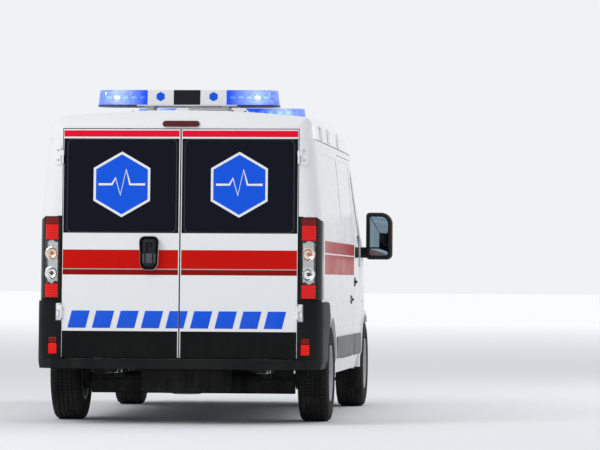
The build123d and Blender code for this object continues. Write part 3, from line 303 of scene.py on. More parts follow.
def weather(material, colour, rough_low, rough_high, dirt_top, dirt_amount, scale, depth, blotch=2.0):
    """Wires a colour socket or value through road dirt and surface texture into the shader."""
    tree = material.node_tree
    dirt = add_node(
        tree, "ShaderNodeGroup", node_tree=road_dirt, in_Color=colour, in_Top=dirt_top, in_Amount=dirt_amount
    ).outputs
    texture = add_node(
        tree, "ShaderNodeGroup", node_tree=surface_texture, in_Scale=scale, in_Depth=depth, in_Blotch=blotch
    ).outputs
    rubbed = ramp(tree, texture["Mask"], 0.3, 0.7, rough_low, rough_high)
    rough = calc(tree, "MULTIPLY_ADD", dirt["Mask"], 0.5, rubbed)
    return wire(material, Base_Color=dirt["Color"], Roughness=rough, Normal=texture["Normal"])


def worn(name, colour, *wear, **sockets):
    """A weathered material of one plain colour."""
    return weather(finish(name, colour, **sockets), colour, *wear)


def places(tree):
    """How far a point of the piece lies from the middle plane, how far forward, and how high."""
    place = add_node(tree, "ShaderNodeSeparateXYZ", in_0=own_place(tree)).outputs
    return calc(tree, "ABSOLUTE", place["X"]), place["Y"], place["Z"]


def body_paint():
    """White with the band, underseal below the floor, and black seals beside and below the tail lamps."""
    material = finish("body_paint", paint_white, Specular_IOR_Level=0.05)
    tree = material.node_tree
    across, along, height = places(tree)
    outside = calc(tree, "GREATER_THAN", across, band_reach)
    side = both(tree, between(tree, along, band_back, band_front), outside)
    colour = over(tree, paint_white, band_red, both(tree, between(tree, height, band_low, band_high), side))
    line = between(tree, height, band_line, band_line + band_line_width)
    colour = over(tree, colour, paint_white, line)
    inboard = between(tree, across, -1, underseal_reach)
    underside = both(tree, between(tree, height, 0, underseal_top), inboard)
    colour = over(tree, colour, underseal_black, underside)
    at_rear = between(tree, along, -3, seal_front)
    for width, tall in seals:
        strip = both(tree, between(tree, across, *width), between(tree, height, *tall))
        colour = over(tree, colour, underseal_black, both(tree, at_rear, strip))
    return weather(material, colour, 0.22, 0.34, 0.75, 0.3, paint_grain, paint_depth)


def dress_nodes(material, *names):
    """Gives construction pieces one material."""
    for name in names:
        dress(nodes[name], material)


side_paint = body_paint()
top_paint = worn(
    "roof_paint", paint_white, 0.25, 0.4, 0.1, 0.0, paint_grain, paint_depth,
    Coat_Weight=0.6, Coat_Roughness=0.08,
)
dress_nodes(
    side_paint, "side_panel_left", "side_panel_right", "sliding_door", "cab_door_left", "cab_door_right"
)
dress_nodes(top_paint, "roof")


# Rear doors: two pressed steel leaves in the same white. Film is laid over them in bands: black at
# the foot and round the windows, two reds across the middle, and bright red along the top. A row of
# slanted blue vinyl blocks runs across both leaves, cut at the gap between them.
sides = ((-1, "left"), (1, "right"))
rear = construction_box[0].y
rear_lean = math.radians(2.5)
rear_face_foot = 0.060
rear_foot_height = 0.460
film_black, film_navy = (0.003, 0.004, 0.004), (0.003, 0.004, 0.011)
film_dark_red, film_red, film_top_red = (0.26, 0.003, 0.002), (0.60, 0.004, 0.001), (0.85, 0.004, 0.03)
film_grey_line = (0.45, 0.42, 0.42)
door_bands = (
    (0.300, 0.655, film_black),
    (1.050, 1.088, film_dark_red),
    (1.088, 1.094, film_grey_line),
    (1.094, 1.227, film_red),
    (1.345, 2.012, film_navy),
    (2.024, 2.069, film_top_red),
)
door_edge_line = 0.0105
door_film_end = 0.829
film_depth = 0.006
sign_blue = (0.0, 0.095, 0.76)
block_count = 9
block_first, block_pitch, block_width = -0.790, 0.1735, 0.128
block_low, block_high = 0.676, 0.798
block_slant, block_corner = 0.030, 0.010
vinyl = 0.0012
door_half_gap = 0.0055


def rear_face(z):
    """Y of the leaning rear face at height z."""
    return rear + rear_face_foot + (z - rear_foot_height) * math.tan(rear_lean)


def only(piece):
    """Makes a piece the one that the next operators act on."""
    bpy.ops.object.select_all(action="DESELECT")
    piece.select_set(True)
    bpy.context.view_layer.objects.active = piece
    return piece


def edit_whole(piece):
    """Opens a piece in edit mode with everything selected."""
    only(piece)
    bpy.ops.object.mode_set(mode="EDIT")
    bpy.ops.mesh.select_all(action="SELECT")
    return piece


def close_edit(outward=False):
    """Leaves edit mode, with every face turned outward where that is asked for."""
    if outward:
        bpy.ops.mesh.select_all(action="SELECT")
        bpy.ops.mesh.normals_make_consistent()
    bpy.ops.object.mode_set(mode="OBJECT")


def pick(piece, wanted):
    """Selects the faces for which wanted(centre, normal) holds, and leaves the piece in edit mode."""
    only(piece)
    bpy.context.tool_settings.mesh_select_mode = (False, False, True)
    bpy.ops.object.mode_set(mode="EDIT")
    bpy.ops.mesh.select_all(action="DESELECT")
    bpy.ops.object.mode_set(mode="OBJECT")
    for face in piece.data.polygons:
        face.select = bool(wanted(face.center, face.normal))
    bpy.ops.object.mode_set(mode="EDIT")


def facing(axis, least):
    """A test for faces that point along an axis, or against it where least is negative."""
    return lambda centre, normal: normal[axis] * math.copysign(1, least) > abs(least)


def add_primitive(add, stretch=(1, 1, 1), **settings):
    """A new primitive, alone selected, with its place, turn and size in its mesh."""
    bpy.ops.object.select_all(action="DESELECT")
    add(**settings)
    piece = bpy.context.object
    piece.scale = stretch
    bpy.ops.object.transform_apply(location=True, rotation=True, scale=True)
    return piece


def block(low, high, edge=0.0, segments=2):
    """A moulded block between two corners, with its edges rounded."""
    low, high = Vector(low), Vector(high)
    piece = add_primitive(bpy.ops.mesh.primitive_cube_add, high - low, size=1, location=(low + high) / 2)
    if edge:
        edit_whole(piece)
        bpy.ops.mesh.bevel(offset=edge, segments=segments, affect="EDGES")
        close_edit()
    return piece


def join(*pieces):
    """One mesh of several."""
    bpy.ops.object.select_all(action="DESELECT")
    for piece in pieces:
        piece.select_set(True)
    bpy.context.view_layer.objects.active = pieces[0]
    bpy.ops.object.join()
    return bpy.context.object


def cut_away(piece, *planes):
    """Cuts a closed piece at each plane, a point and the direction of the waste, and closes the cut."""
    edit_whole(piece)
    for point, waste in planes:
        bpy.ops.mesh.select_all(action="SELECT")
        bpy.ops.mesh.bisect(plane_co=point, plane_no=waste, clear_outer=True, use_fill=True)
    close_edit()
    return piece


def moved(piece, move):
    """Moves a piece's mesh."""
    piece.data.transform(Matrix.Translation(move))
    return piece


def turned(piece, angle, axis, about):
    """Turns a piece's mesh about a line through a point."""
    about = Vector(about)
    piece.data.transform(
        Matrix.Translation(about) @ Matrix.Rotation(angle, 4, axis) @ Matrix.Translation(-about)
    )
    return piece


def on_rear_face(piece, z):
    """Leans a piece that was made upright on the plane Y = 0, and sets it on the rear face at height z."""
    moved(piece, (0, rear_face(z), 0))
    return turned(piece, -rear_lean, "X", (0, rear_face(z), z))


def fitted(piece, name, body, material, angle=30):
    """Names a finished piece, smooths it, gives it its material and fixes it to its body."""
    only(piece)
    bpy.ops.object.shade_smooth_by_angle(angle=math.radians(angle))
    piece.name = name
    piece.data.name = name
    dress(piece, material)
    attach(piece, body)
    return piece


def door_livery():
    """The doors' white, with a film band wherever a point lies on the outer skin of a leaf."""
    material = finish("door_livery", paint_white, Specular_IOR_Level=0.1)
    tree = material.node_tree
    across, along, height = places(tree)
    lean = calc(tree, "MULTIPLY_ADD", height, -math.tan(rear_lean), along)
    outside = calc(tree, "LESS_THAN", lean, rear_face(0) + film_depth)
    film = both(tree, between(tree, across, door_edge_line, door_film_end), outside)
    colour = paint_white
    for low, high, shade in door_bands:
        colour = over(tree, colour, shade, both(tree, between(tree, height, low, high), film))
    return weather(material, colour, 0.24, 0.36, 0.9, 0.03, paint_grain, paint_depth)


def sign_blocks():
    """Slanted vinyl blocks in one row, laid across both leaves."""
    blocks = []
    for number in range(block_count):
        left = block_first + number * block_pitch
        shape = block((left, -vinyl, block_low), (left + block_width, 0, block_high))
        pick(shape, facing(2, 0.9))
        bpy.ops.transform.translate(value=(block_slant, 0, 0))
        close_edit()
        blocks.append(shape)
    row = edit_whole(join(*blocks))
    bpy.ops.mesh.bevel(offset=block_corner, segments=3, affect="EDGES", clamp_overlap=True)
    close_edit()
    return on_rear_face(row, (block_low + block_high) / 2)


livery = door_livery()
vinyl_blue = worn("vinyl_blue", sign_blue, 0.25, 0.4, 0.9, 0.25, 500, 0.03, Specular_IOR_Level=0.2)
vinyl_white = worn("vinyl_white", paint_white, 0.3, 0.45, 0.9, 0.2, 500, 0.03)
dress_nodes(livery, "rear_door_left", "rear_door_right")
for side, name in sides:
    row = cut_away(sign_blocks(), ((side * door_half_gap, 0, 0), (-side, 0, 0)))
    fitted(row, f"sign_blocks_{name}", f"rear_door_{name}", vinyl_blue)


# Rear windows: toughened glass behind dark blue film, in a black rubber channel. A plain blue
# six-sided plate with a white rim and a white pulse line is stuck on each.
rubber_black = (0.012, 0.012, 0.012)
emblem_x, emblem_z = 0.416, 1.688
emblem_radius, emblem_border = 0.232, 0.020
emblem_layer, emblem_edge = 0.0015, 0.0006
window_set_back = 0.004
channel_corner, channel_width, channel_wall, channel_edge = 0.040, 0.009, 0.006, 0.0015
pulse_width, pulse_flatness = 0.017, 0.15
pulse_points = (
    (-0.165, 0.0), (-0.070, 0.0), (-0.045, 0.045), (-0.010, -0.075), (0.030, 0.105), (0.058, 0.0),
    (0.165, 0.0),
)
upright = (math.radians(90), 0, 0)


def hexagon(radius):
    """A six-sided plate that stands on its point, facing rearward, with a softened rim."""
    plate = add_primitive(
        bpy.ops.mesh.primitive_circle_add, vertices=6, radius=radius, fill_type="NGON", rotation=upright
    )
    edit_whole(plate)
    bpy.ops.mesh.solidify(thickness=-emblem_layer)
    bpy.ops.mesh.select_all(action="SELECT")
    bpy.ops.mesh.normals_make_consistent()
    bpy.ops.mesh.bevel(offset=emblem_edge, segments=1, affect="EDGES")
    close_edit()
    return plate


def object_of(name, data):
    """A new object in the scene for a mesh or a curve."""
    piece = bpy.data.objects.new(name, data)
    bpy.context.scene.collection.objects.link(piece)
    return piece


def rod_along(points, radius, roundness=3):
    """A round rod along a row of points, made from a curve and turned into a mesh."""
    curve = bpy.data.curves.new("rod", "CURVE")
    curve.dimensions = "3D"
    curve.bevel_depth = radius
    curve.bevel_resolution = roundness
    curve.use_fill_caps = True
    run = curve.splines.new("POLY")
    run.points.add(len(points) - 1)
    for point, place in zip(run.points, points):
        point.co = (*place, 1)
    only(object_of("rod", curve))
    bpy.ops.object.convert(target="MESH")
    return bpy.context.object


def pulse_line():
    """A pulse trace as a flattened rod, so that its corners are mitred and its edges soft."""
    line = rod_along([(x, 0, z) for x, z in pulse_points], pulse_width / 2)
    line.data.transform(Matrix.Scale(pulse_flatness, 4, (0, 1, 0)))
    return line


def stick_emblem(side, name):
    """The rim, the plate and the pulse line, one layer of vinyl over the other."""
    layers = (
        ("rim", hexagon(emblem_radius), vinyl_white),
        ("plate", hexagon(emblem_radius - emblem_border), vinyl_blue),
        ("pulse", pulse_line(), vinyl_white),
    )
    for number, (part, piece, material) in enumerate(layers):
        moved(piece, (side * emblem_x, window_set_back - number * emblem_layer, emblem_z))
        on_rear_face(piece, emblem_z)
        fitted(piece, f"emblem_{part}_{name}", f"rear_door_{name}", material)


def window_channel(name):
    """The rubber channel round a rear window: a rounded frame between the glass and the door."""
    low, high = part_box(f"rear_glass_{name}")
    middle = (low + high) / 2
    channel = add_primitive(
        bpy.ops.mesh.primitive_plane_add, (high.x - low.x, (high.z - low.z) / math.cos(rear_lean), 1),
        size=1, location=(middle.x, 0, middle.z), rotation=upright,
    )
    edit_whole(channel)
    bpy.ops.mesh.bevel(offset=channel_corner, segments=6, affect="VERTICES")
    bpy.ops.mesh.inset(thickness=channel_width)
    bpy.ops.mesh.delete(type="FACE")
    bpy.ops.mesh.select_all(action="SELECT")
    bpy.ops.mesh.solidify(thickness=channel_wall)
    bpy.ops.mesh.select_all(action="SELECT")
    bpy.ops.mesh.normals_make_consistent()
    bpy.ops.mesh.bevel(offset=channel_edge, segments=2, affect="EDGES")
    close_edit()
    on_rear_face(moved(channel, (0, window_set_back - 0.001, 0)), middle.z)
    fitted(channel, f"window_channel_{name}", f"rear_door_{name}", rubber)


rubber = worn("rubber", rubber_black, 0.5, 0.75, 0.9, 0.3, 800, 0.2)
glass_film = worn("window_film", film_navy, 0.08, 0.2, 1.0, 0.0, 60, 0.01, Specular_IOR_Level=0.1)
dress_nodes(glass_film, "rear_glass_left", "rear_glass_right")
for side, name in sides:
    window_channel(name)
    stick_emblem(side, name)


# Rear door handle: a black moulded housing on the left leaf, narrower at its foot, with a pale
# bead round it. A grey grip bridges the dished recess, under a dark lock barrel.
plastic_black = (0.008, 0.009, 0.010)
zinc_grey = (0.62, 0.63, 0.65)
handle_left, handle_right = -0.279, -0.150
handle_low, handle_high = 1.089, 1.317
handle_proud, handle_corner, handle_edge = 0.028, 0.035, 0.007
handle_lip, handle_recess, recess_narrows = 0.013, 0.018, (0.88, 1, 0.92)
handle_foot_z, handle_foot_width = 1.150, 0.74
grip_low, grip_high, grip_margin, grip_edge = 1.128, 1.202, 0.014, 0.008
lock_place = (-0.2145, -0.008, 1.262)
lock_rows = ((0.013, 0), (0.013, 0.012), (0.011, 0.014), (0.0095, 0.0125))
bead_reach, bead_edge = 0.005, 0.002


def moulded_plastic(name, colour, rough_low=0.42, rough_high=0.58, dirt=0.3, depth=0.25, shine=0.25):
    return worn(name, colour, rough_low, rough_high, 0.9, dirt, 900, depth, 5, Specular_IOR_Level=shine)


def turn(profile, steps=32, closed=False):
    """A turned piece about the Z axis from rows of (radius, height). Its ends are capped, or joined up."""
    rows = [*profile, profile[0]] if closed else profile
    radius, height = rows[0]
    piece = add_primitive(
        bpy.ops.mesh.primitive_circle_add,
        vertices=steps, radius=radius, fill_type="NOTHING", location=(0, 0, height),
    )
    bpy.context.tool_settings.mesh_select_mode = (True, False, False)
    edit_whole(piece)
    if not closed:
        bpy.ops.mesh.edge_face_add()
    for (old, low), (new, high) in zip(rows, rows[1:]):
        bpy.ops.mesh.extrude_region_move(TRANSFORM_OT_translate={"value": (0, 0, high - low)})
        bpy.ops.transform.resize(value=(new / old, new / old, 1), center_override=(0, 0, high))
    bpy.ops.mesh.select_all(action="SELECT")
    bpy.ops.mesh.remove_doubles(threshold=0.00002)
    close_edit(outward=True)
    return piece


def aim(piece, place, direction):
    """Points a piece made about the Z axis along a direction, with its foot at a place."""
    turn_to = Vector(direction).to_track_quat("Z", "Y").to_matrix().to_4x4()
    piece.data.transform(Matrix.Translation(place) @ turn_to)
    return piece


def rounded_plate(low, high, corner, edge):
    """A plate seen from behind, with round corners and a softened rear edge."""
    plate = only(block(low, high))
    bpy.context.tool_settings.mesh_select_mode = (False, True, False)
    mesh = plate.data
    for line in mesh.edges:
        one, other = (mesh.vertices[number].co for number in line.vertices)
        line.select = abs(one.y - other.y) > 1e-6
    bpy.ops.object.mode_set(mode="EDIT")
    bpy.ops.mesh.bevel(offset=corner, segments=6, affect="EDGES")
    close_edit()
    pick(plate, facing(1, -0.9))
    bpy.ops.mesh.bevel(offset=edge, segments=3, affect="EDGES")
    close_edit()
    return plate


def dished(piece, wanted, rim, push, narrowed=None):
    """Draws in the wanted faces by a rim, pushes them in or out, and narrows the floor so made."""
    pick(piece, wanted)
    bpy.ops.mesh.inset(thickness=rim)
    bpy.ops.mesh.extrude_region_move(TRANSFORM_OT_translate={"value": push})
    if narrowed:
        bpy.ops.transform.resize(value=narrowed)
    close_edit()
    return piece


def narrow_foot(piece):
    """Draws the lowest part of a handle piece in toward the handle's middle line."""
    centre = (handle_left + handle_right) / 2
    for corner in piece.data.vertices:
        drop = min(max((handle_foot_z - corner.co.z) / (handle_foot_z - handle_low), 0), 1)
        corner.co.x = centre + (corner.co.x - centre) * (1 - (1 - handle_foot_width) * drop)


def rear_handle():
    housing = rounded_plate(
        (handle_left, -handle_proud, handle_low), (handle_right, 0, handle_high), handle_corner, handle_edge
    )
    dished(housing, facing(1, -0.99), handle_lip, (0, handle_recess, 0), recess_narrows)
    grip = block(
        (handle_left + grip_margin, -handle_proud + 0.001, grip_low),
        (handle_right - grip_margin, -0.010, grip_high), grip_edge, 3,
    )
    barrel = aim(turn(lock_rows), lock_place, (0, -1, 0))
    bead = rounded_plate(
        (handle_left - bead_reach, -bead_reach, handle_low - bead_reach),
        (handle_right + bead_reach, 0.0, handle_high + bead_reach), handle_corner + 0.004, bead_edge,
    )
    for piece in (housing, grip, bead):
        narrow_foot(piece)
    for piece, part, material in (
        (housing, "housing", black_plastic), (grip, "grip", grip_grey),
        (barrel, "lock", black_plastic), (bead, "bead", bead_grey),
    ):
        on_rear_face(piece, (handle_low + handle_high) / 2)
        fitted(piece, f"handle_{part}", "rear_door_left", material)
    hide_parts("rear_door_handle")


black_plastic = moulded_plastic("black_plastic", plastic_black)
grip_grey = moulded_plastic("grip_grey", (0.075, 0.078, 0.082))
bead_grey = moulded_plastic("bead_grey", zinc_grey, dirt=0.1)
rear_handle()


# Rear hinges: pressed plates in body white on the corner posts, with the barrel beside them. The
# upper plate is held by two socket screws, the narrow lower one by a small screw.
hinge_screws = ((0.869, 1.863, 0.009), (0.869, 1.932, 0.009), (0.860, 0.800, 0.005))
screw_rows = ((1.35, 0), (1.35, 0.25), (1, 0.3), (1, 0.8), (0.8, 1))
screw_height = 0.9
probe_gap = 0.3
behind_y = rear - probe_gap
surfaces = {}


def touch(node, start, direction):
    """Where a straight line from start first meets a construction piece, and the surface's normal."""
    if node not in surfaces:
        mesh = nodes[node].data
        corners = [corner.co for corner in mesh.vertices]
        surfaces[node] = BVHTree.FromPolygons(corners, [tuple(face.vertices) for face in mesh.polygons])
    return surfaces[node].ray_cast(Vector(start), Vector(direction))[:2]


def sized(rows, radius, height=1):
    """The rows of a turned piece, given as shares of its radius and height."""
    return [(radius * across, height * along) for across, along in rows]


def socket_screw(radius, height):
    """A domed screw head with a hexagon socket."""
    head = turn(sized(screw_rows, radius, height), 20)
    return dished(
        head, lambda centre, normal: normal.z > 0.9 and centre.z > height * 0.95,
        radius * 0.3, (0, 0, -height * 0.5),
    )


zinc = worn("zinc", zinc_grey, 0.25, 0.45, 0.8, 0.3, 300, 0.08, Metallic=1.0)
dress_nodes(top_paint, "rear_hinges")
for side, name in sides:
    heads = []
    for x, z, radius in hinge_screws:
        place, normal = touch("rear_hinges", (side * x, behind_y, z), (0, 1, 0))
        heads.append(aim(socket_screw(radius, radius * screw_height), place, normal))
    fitted(join(*heads), f"hinge_screws_{name}", "body", zinc)


# Tail lamps: a tall black moulding at each rear corner, with red lenses above and below a clear
# one. Behind the clear lens a bright tray carries two reflector bowls with their bulbs.
lamp_foot, lamp_head = 0.880, 1.470
lamp_inboard, lamp_outboard = 0.80, 1.1
lens_inner, lens_outer = 0.862, 0.958
lens_low, lens_main, lens_top = (0.890, 0.986), (1.298, 1.404), (1.408, 1.455)
clear_low, clear_high = 0.990, 1.294
wing_gap, edge_gap, tray_overlap = 0.004, 0.002, 0.003
housing_step, tray_step = 0.003, 0.018
bowl_high_z, bowl_low_z = 1.200, 1.060
bowl_radius, bowl_set_back = 0.046, 0.019
bowl_rows = ((1, 0), (1, 0.013), (0.93, 0.0145), (0.86, 0.012), (0.7, 0.006), (0.4, 0.002), (0.2, 0.001))
bulb_rows = ((0.014, 0), (0.014, 0.004), (0.013, 0.009), (0.008, 0.012), (0.001, 0.013))
lamp_red = (0.75, 0.004, 0.003)
prism_columns, prism_rows, prism_shades = 32.0, 18.0, (0.35, 1.15)


def copy_of(node):
    """A copy of a construction piece with its triangles merged, ready to be cut."""
    piece = edit_whole(object_of(node + "_copy", nodes[node].data.copy()))
    bpy.ops.mesh.remove_doubles(threshold=0.00001)
    bpy.ops.mesh.select_all(action="SELECT")
    bpy.ops.mesh.tris_convert_to_quads()
    close_edit()
    return piece


def again(piece, name, body, mirrored=False):
    """A copy of a piece with its own mesh, handed across the middle plane where that is asked for."""
    made = object_of(name, piece.data.copy())
    if mirrored:
        made.data.transform(Matrix.Scale(-1, 4, (1, 0, 0)))
        made.data.flip_normals()
    made.data.name = name
    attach(made, body)
    return made


def swell(piece, distance):
    """Moves every face outward by a distance, or inward where it is negative."""
    edit_whole(piece)
    bpy.ops.transform.shrink_fatten(value=distance, use_even_offset=True)
    close_edit()
    return piece


def waves(tree, scale, way):
    """Even bands through the piece, one behind the other along a direction."""
    return add_node(
        tree, "ShaderNodeTexWave", in_0=own_place(tree), in_Scale=scale, bands_direction=way
    ).outputs["Fac"]


def lens_red(name, colour, light):
    """Red lens plastic with fine prisms moulded in its back, with a glow: a lamp lit from inside, or on a
    reflector a painted glow of returned light.
    """
    material = finish(
        name, colour, 0.15, Specular_IOR_Level=0.15, Coat_Weight=0.25, Coat_Roughness=0.03,
        Emission_Color=(1.0, 0.006, 0.002), Emission_Strength=light,
    )
    tree = material.node_tree
    prisms = both(tree, waves(tree, prism_columns, "X"), waves(tree, prism_rows, "Z"))
    shade = ramp(tree, prisms, 0, 1, *prism_shades)
    dark = add_node(
        tree, "ShaderNodeMix", data_type="RGBA", blend_type="MULTIPLY", in_0=1.0, in_6=colour, in_7=shade
    )
    bump = add_node(tree, "ShaderNodeBump", in_Strength=0.3, in_Distance=0.002, in_Height=prisms)
    return wire(material, Base_Color=dark.outputs[2], Normal=bump.outputs[0])


def build_tail_lamp():
    """The right lamp is cut from the construction piece, and the left one is its mirror image."""
    whole = cut_away(copy_of("tail_lamps"), ((0, 0, 0), (-1, 0, 0)))
    full, lens = (lamp_inboard, lamp_outboard), (lens_inner, lens_outer)
    pieces = []
    for part, (low, high), (inner, outer), grow, material in (
        ("housing_low", (lamp_foot, clear_low), full, -housing_step, lamp_black),
        ("housing_high", (clear_high, lamp_head), full, -housing_step, lamp_black),
        ("wing", (lamp_foot, lamp_head), (lens_outer + wing_gap, lamp_outboard), 0, lamp_black),
        ("edge", (lamp_foot, lamp_head), (lamp_inboard, lens_inner - edge_gap), 0, lamp_black),
        ("tray", (clear_low - tray_overlap, clear_high + tray_overlap), full, -tray_step, bright_tray),
        ("lens_low", lens_low, lens, 0, lens_bright_red),
        ("lens_main", lens_main, lens, 0, lens_bright_red),
        ("lens_top", lens_top, lens, 0, lens_dark_red),
        ("lens_clear", (clear_low, clear_high), lens, 0, clear_lens),
    ):
        made = again(whole, f"tail_lamp_{part}", "body")
        cut_away(
            made, ((0, 0, low), (0, 0, -1)), ((0, 0, high), (0, 0, 1)),
            ((inner, 0, 0), (-1, 0, 0)), ((outer, 0, 0), (1, 0, 0)),
        )
        if grow:
            swell(made, grow)
        pieces.append(fitted(made, f"tail_lamp_{part}", "body", material))
    bpy.data.objects.remove(whole)
    lights = ((bowl_high_z, warm_chrome, amber_bulb), (bowl_low_z, chrome, dark_bulb))
    for number, (z, mirror, glass) in enumerate(lights):
        place = ((lens_inner + lens_outer) / 2, rear_face(z) + bowl_set_back, z)
        bowl = aim(turn(sized(bowl_rows, bowl_radius), 40), place, (0, -1, 0))
        pieces.append(fitted(bowl, f"tail_lamp_bowl_{number}", "body", mirror))
        bulb = aim(turn(bulb_rows, 20), place, (0, -1, 0))
        pieces.append(fitted(bulb, f"tail_lamp_bulb_{number}", "body", glass))
    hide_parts("tail_lamps")
    for piece in pieces:
        piece.name += "_right"
        again(piece, piece.name.replace("_right", "_left"), "body", mirrored=True)


lamp_black = moulded_plastic("lamp_black", (0.008, 0.008, 0.009), 0.12, 0.25, 0.15, 0.02)
bright_tray = worn("bright_tray", (0.55, 0.58, 0.58), 0.22, 0.4, 0.5, 0.1, 80, 0.3, Metallic=0.9)
chrome = worn("chrome", (0.86, 0.88, 0.88), 0.06, 0.16, 0.5, 0.1, 90, 0.1, Metallic=1.0)
warm_chrome = worn("warm_chrome", (0.86, 0.72, 0.64), 0.1, 0.2, 0.5, 0.1, 90, 0.1, Metallic=1.0)
lens_bright_red = lens_red("lens_bright_red", lamp_red, 0.3)
lens_dark_red = lens_red("lens_dark_red", (0.30, 0.003, 0.003), 0.02)
clear_lens = finish(
    "clear_lens", (0.97, 0.98, 0.98), 0.03,
    Transmission_Weight=1.0, IOR=1.18, Coat_Weight=0.6, Coat_Roughness=0.02,
)
amber_bulb = finish("amber_bulb", (0.9, 0.25, 0.02), 0.2, Transmission_Weight=0.5)
dark_bulb = finish("dark_bulb", (0.10, 0.028, 0.022), 0.15)
build_tail_lamp()
dress_nodes(lens_red("brake_lamp_red", (0.16, 0.003, 0.006), 0.0), "brake_lamp_high")


# Roof light bars: polycarbonate lenses over an aluminium tray. The rear bar has lit blue ends, two
# white fields with a small blue plate, and a black middle. Rows of lamp modules stand inside.
bar_blue = (0.012, 0.065, 0.62)
bar_glow = (0.03, 0.15, 0.95)
bar_pale = (0.62, 0.76, 1.0)
glow_reach = 0.20
rear_bar_fields = (
    (-0.70, -0.287, "lens_blue"), (-0.283, -0.096, "lens_white"), (-0.094, 0.094, "lens_black"),
    (0.096, 0.283, "lens_white"), (0.287, 0.70, "lens_blue"),
)
front_bar_fields = ((-0.70, -0.172, "lens_blue"), (-0.170, 0.170, "lens_black"), (0.172, 0.70, "lens_blue"))
bar_split_y = -1.0
rear_bar_ends, front_bar_ends = (rear + 0.475, rear + 0.775), (rear + 2.700, rear + 2.970)
rear_modules, rear_module_height = (0.325, 0.385, 0.445, 0.505, 0.565), (2.284, 2.356)
front_modules, front_module_height = (0.25, 0.32, 0.39, 0.46, 0.53), (2.292, 2.332)
module_width, module_depth, module_edge = 0.052, 0.016, 0.003
module_lip, module_recess, module_narrows, module_set_in = 0.004, 0.007, (0.7, 1, 0.6), 0.035
diode_size, diode_edge = (0.028, 0.004, 0.014), 0.0015
flash_at = 0.505
bar_plate_x, bar_plate_z, bar_plate_radius = 0.19, 2.326, 0.034


def brick(centre, size, edge=0.0, segments=2):
    """A moulded block about a centre."""
    low = [place - reach / 2 for place, reach in zip(centre, size)]
    high = [place + reach / 2 for place, reach in zip(centre, size)]
    return block(low, high, edge, segments)


def bar_lenses(bar, fields, waste):
    """Cuts the lens of one bar into its coloured fields."""
    whole = cut_away(copy_of("light_bar_lenses"), ((0, bar_split_y, 0), waste))
    made = []
    for number, (low, high, colour) in enumerate(fields):
        field = again(whole, f"{bar}_lens_{number}", "body")
        cut_away(field, ((low, 0, 0), (-1, 0, 0)), ((high, 0, 0), (1, 0, 0)))
        made.append(fitted(field, f"{bar}_lens_{number}", "body", bar_materials[colour]))
    bpy.data.objects.remove(whole)
    return made


def module_row(bar, columns, ends, heights):
    """Reflector modules that face rearward and forward inside the blue ends of a bar."""
    low, high = heights
    middle = (low + high) / 2
    trays, lights, flashes = [], [], []
    for x in [side * column for side in (-1, 1) for column in columns]:
        for y, way in ((ends[0] + module_set_in, -1), (ends[1] - module_set_in, 1)):
            tray = brick((x, y, middle), (module_width, module_depth, high - low), module_edge)
            trays.append(dished(
                tray, facing(1, way * 0.95), module_lip, (0, -way * module_recess, 0), module_narrows
            ))
            diode = brick((x, y + way * 0.001, middle), diode_size, diode_edge)
            (flashes if abs(x) == flash_at and way < 0 else lights).append(diode)
    fitted(join(*trays), f"{bar}_trays", "body", chrome)
    fitted(join(*lights), f"{bar}_diodes", "body", diode_blue)
    if flashes:
        fitted(join(*flashes), f"{bar}_flash", "body", diode_flash)


def bar_plates():
    """The small six-sided plates on the white fields, at the rear and the front of the rear bar."""
    for side, name in sides:
        for y, way, end in ((rear_bar_ends[0], -1, "rear"), (rear_bar_ends[1], 1, "front")):
            outside = (side * bar_plate_x, y + way * probe_gap, bar_plate_z)
            place, normal = touch("light_bar_lenses", outside, (0, -way, 0))
            edge = bar_plate_radius - 0.001
            plate = turn(((bar_plate_radius, 0), (bar_plate_radius, 0.001), (edge, 0.0016)), 6)
            fitted(aim(plate, place, normal), f"bar_plate_{end}_{name}", "body", vinyl_blue)


def lit_blue_lens():
    """Blue lens plastic that turns paler toward the lit module of each end."""
    material = finish(
        "lens_blue", bar_blue, 0.06, Transmission_Weight=0.55, IOR=1.2, Emission_Strength=0.32
    )
    tree = material.node_tree
    away = calc(tree, "ABSOLUTE", calc(tree, "SUBTRACT", places(tree)[0], flash_at))
    near = ramp(tree, away, 0, glow_reach, 0.75, 0)
    colour, glow = over(tree, bar_blue, bar_pale, near), over(tree, bar_glow, bar_pale, near)
    return wire(material, Base_Color=colour, Emission_Color=glow)


bar_materials = {
    "lens_blue": lit_blue_lens(),
    "lens_white": worn(
        "lens_white", (0.80, 0.80, 0.82), 0.2, 0.4, 0.5, 0.1, 200, 0.05, 8,
        Coat_Weight=0.3, Coat_Roughness=0.1,
    ),
    "lens_black": worn(
        "lens_black", (0.008, 0.006, 0.012), 0.1, 0.25, 0.5, 0.1, 200, 0.03, 8, Specular_IOR_Level=0.2
    ),
}
diode_blue = finish(
    "diode_blue", (0.1, 0.3, 1.0), 0.3, Emission_Color=(0.2, 0.45, 1.0), Emission_Strength=2.5
)
diode_flash = finish(
    "diode_flash", (0.8, 0.9, 1.0), 0.3, Emission_Color=(0.75, 0.88, 1.0), Emission_Strength=14
)
rear_lenses = bar_lenses("rear_bar", rear_bar_fields, (0, 1, 0))
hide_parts("light_bar_lenses")
bar_lenses("front_bar", front_bar_fields, (0, -1, 0))
module_row("rear_bar", rear_modules, rear_bar_ends, rear_module_height)
module_row("front_bar", front_modules, front_bar_ends, front_module_height)
bar_plates()


# The bars' trays are pressed rails on cast feet, in pale grey with dark blue ends under the lit
# lenses. Domed nuts hold the feet down.
tray_pale_half = 0.360
tray_blue = (0.010, 0.030, 0.160)
tray_feet = (rear_bar_ends[0] + 0.15, rear + 2.835)
above_z = 2.6
tray_nut_rows = ((0.011, 0), (0.011, 0.007), (0.007, 0.012), (0.002, 0.014))


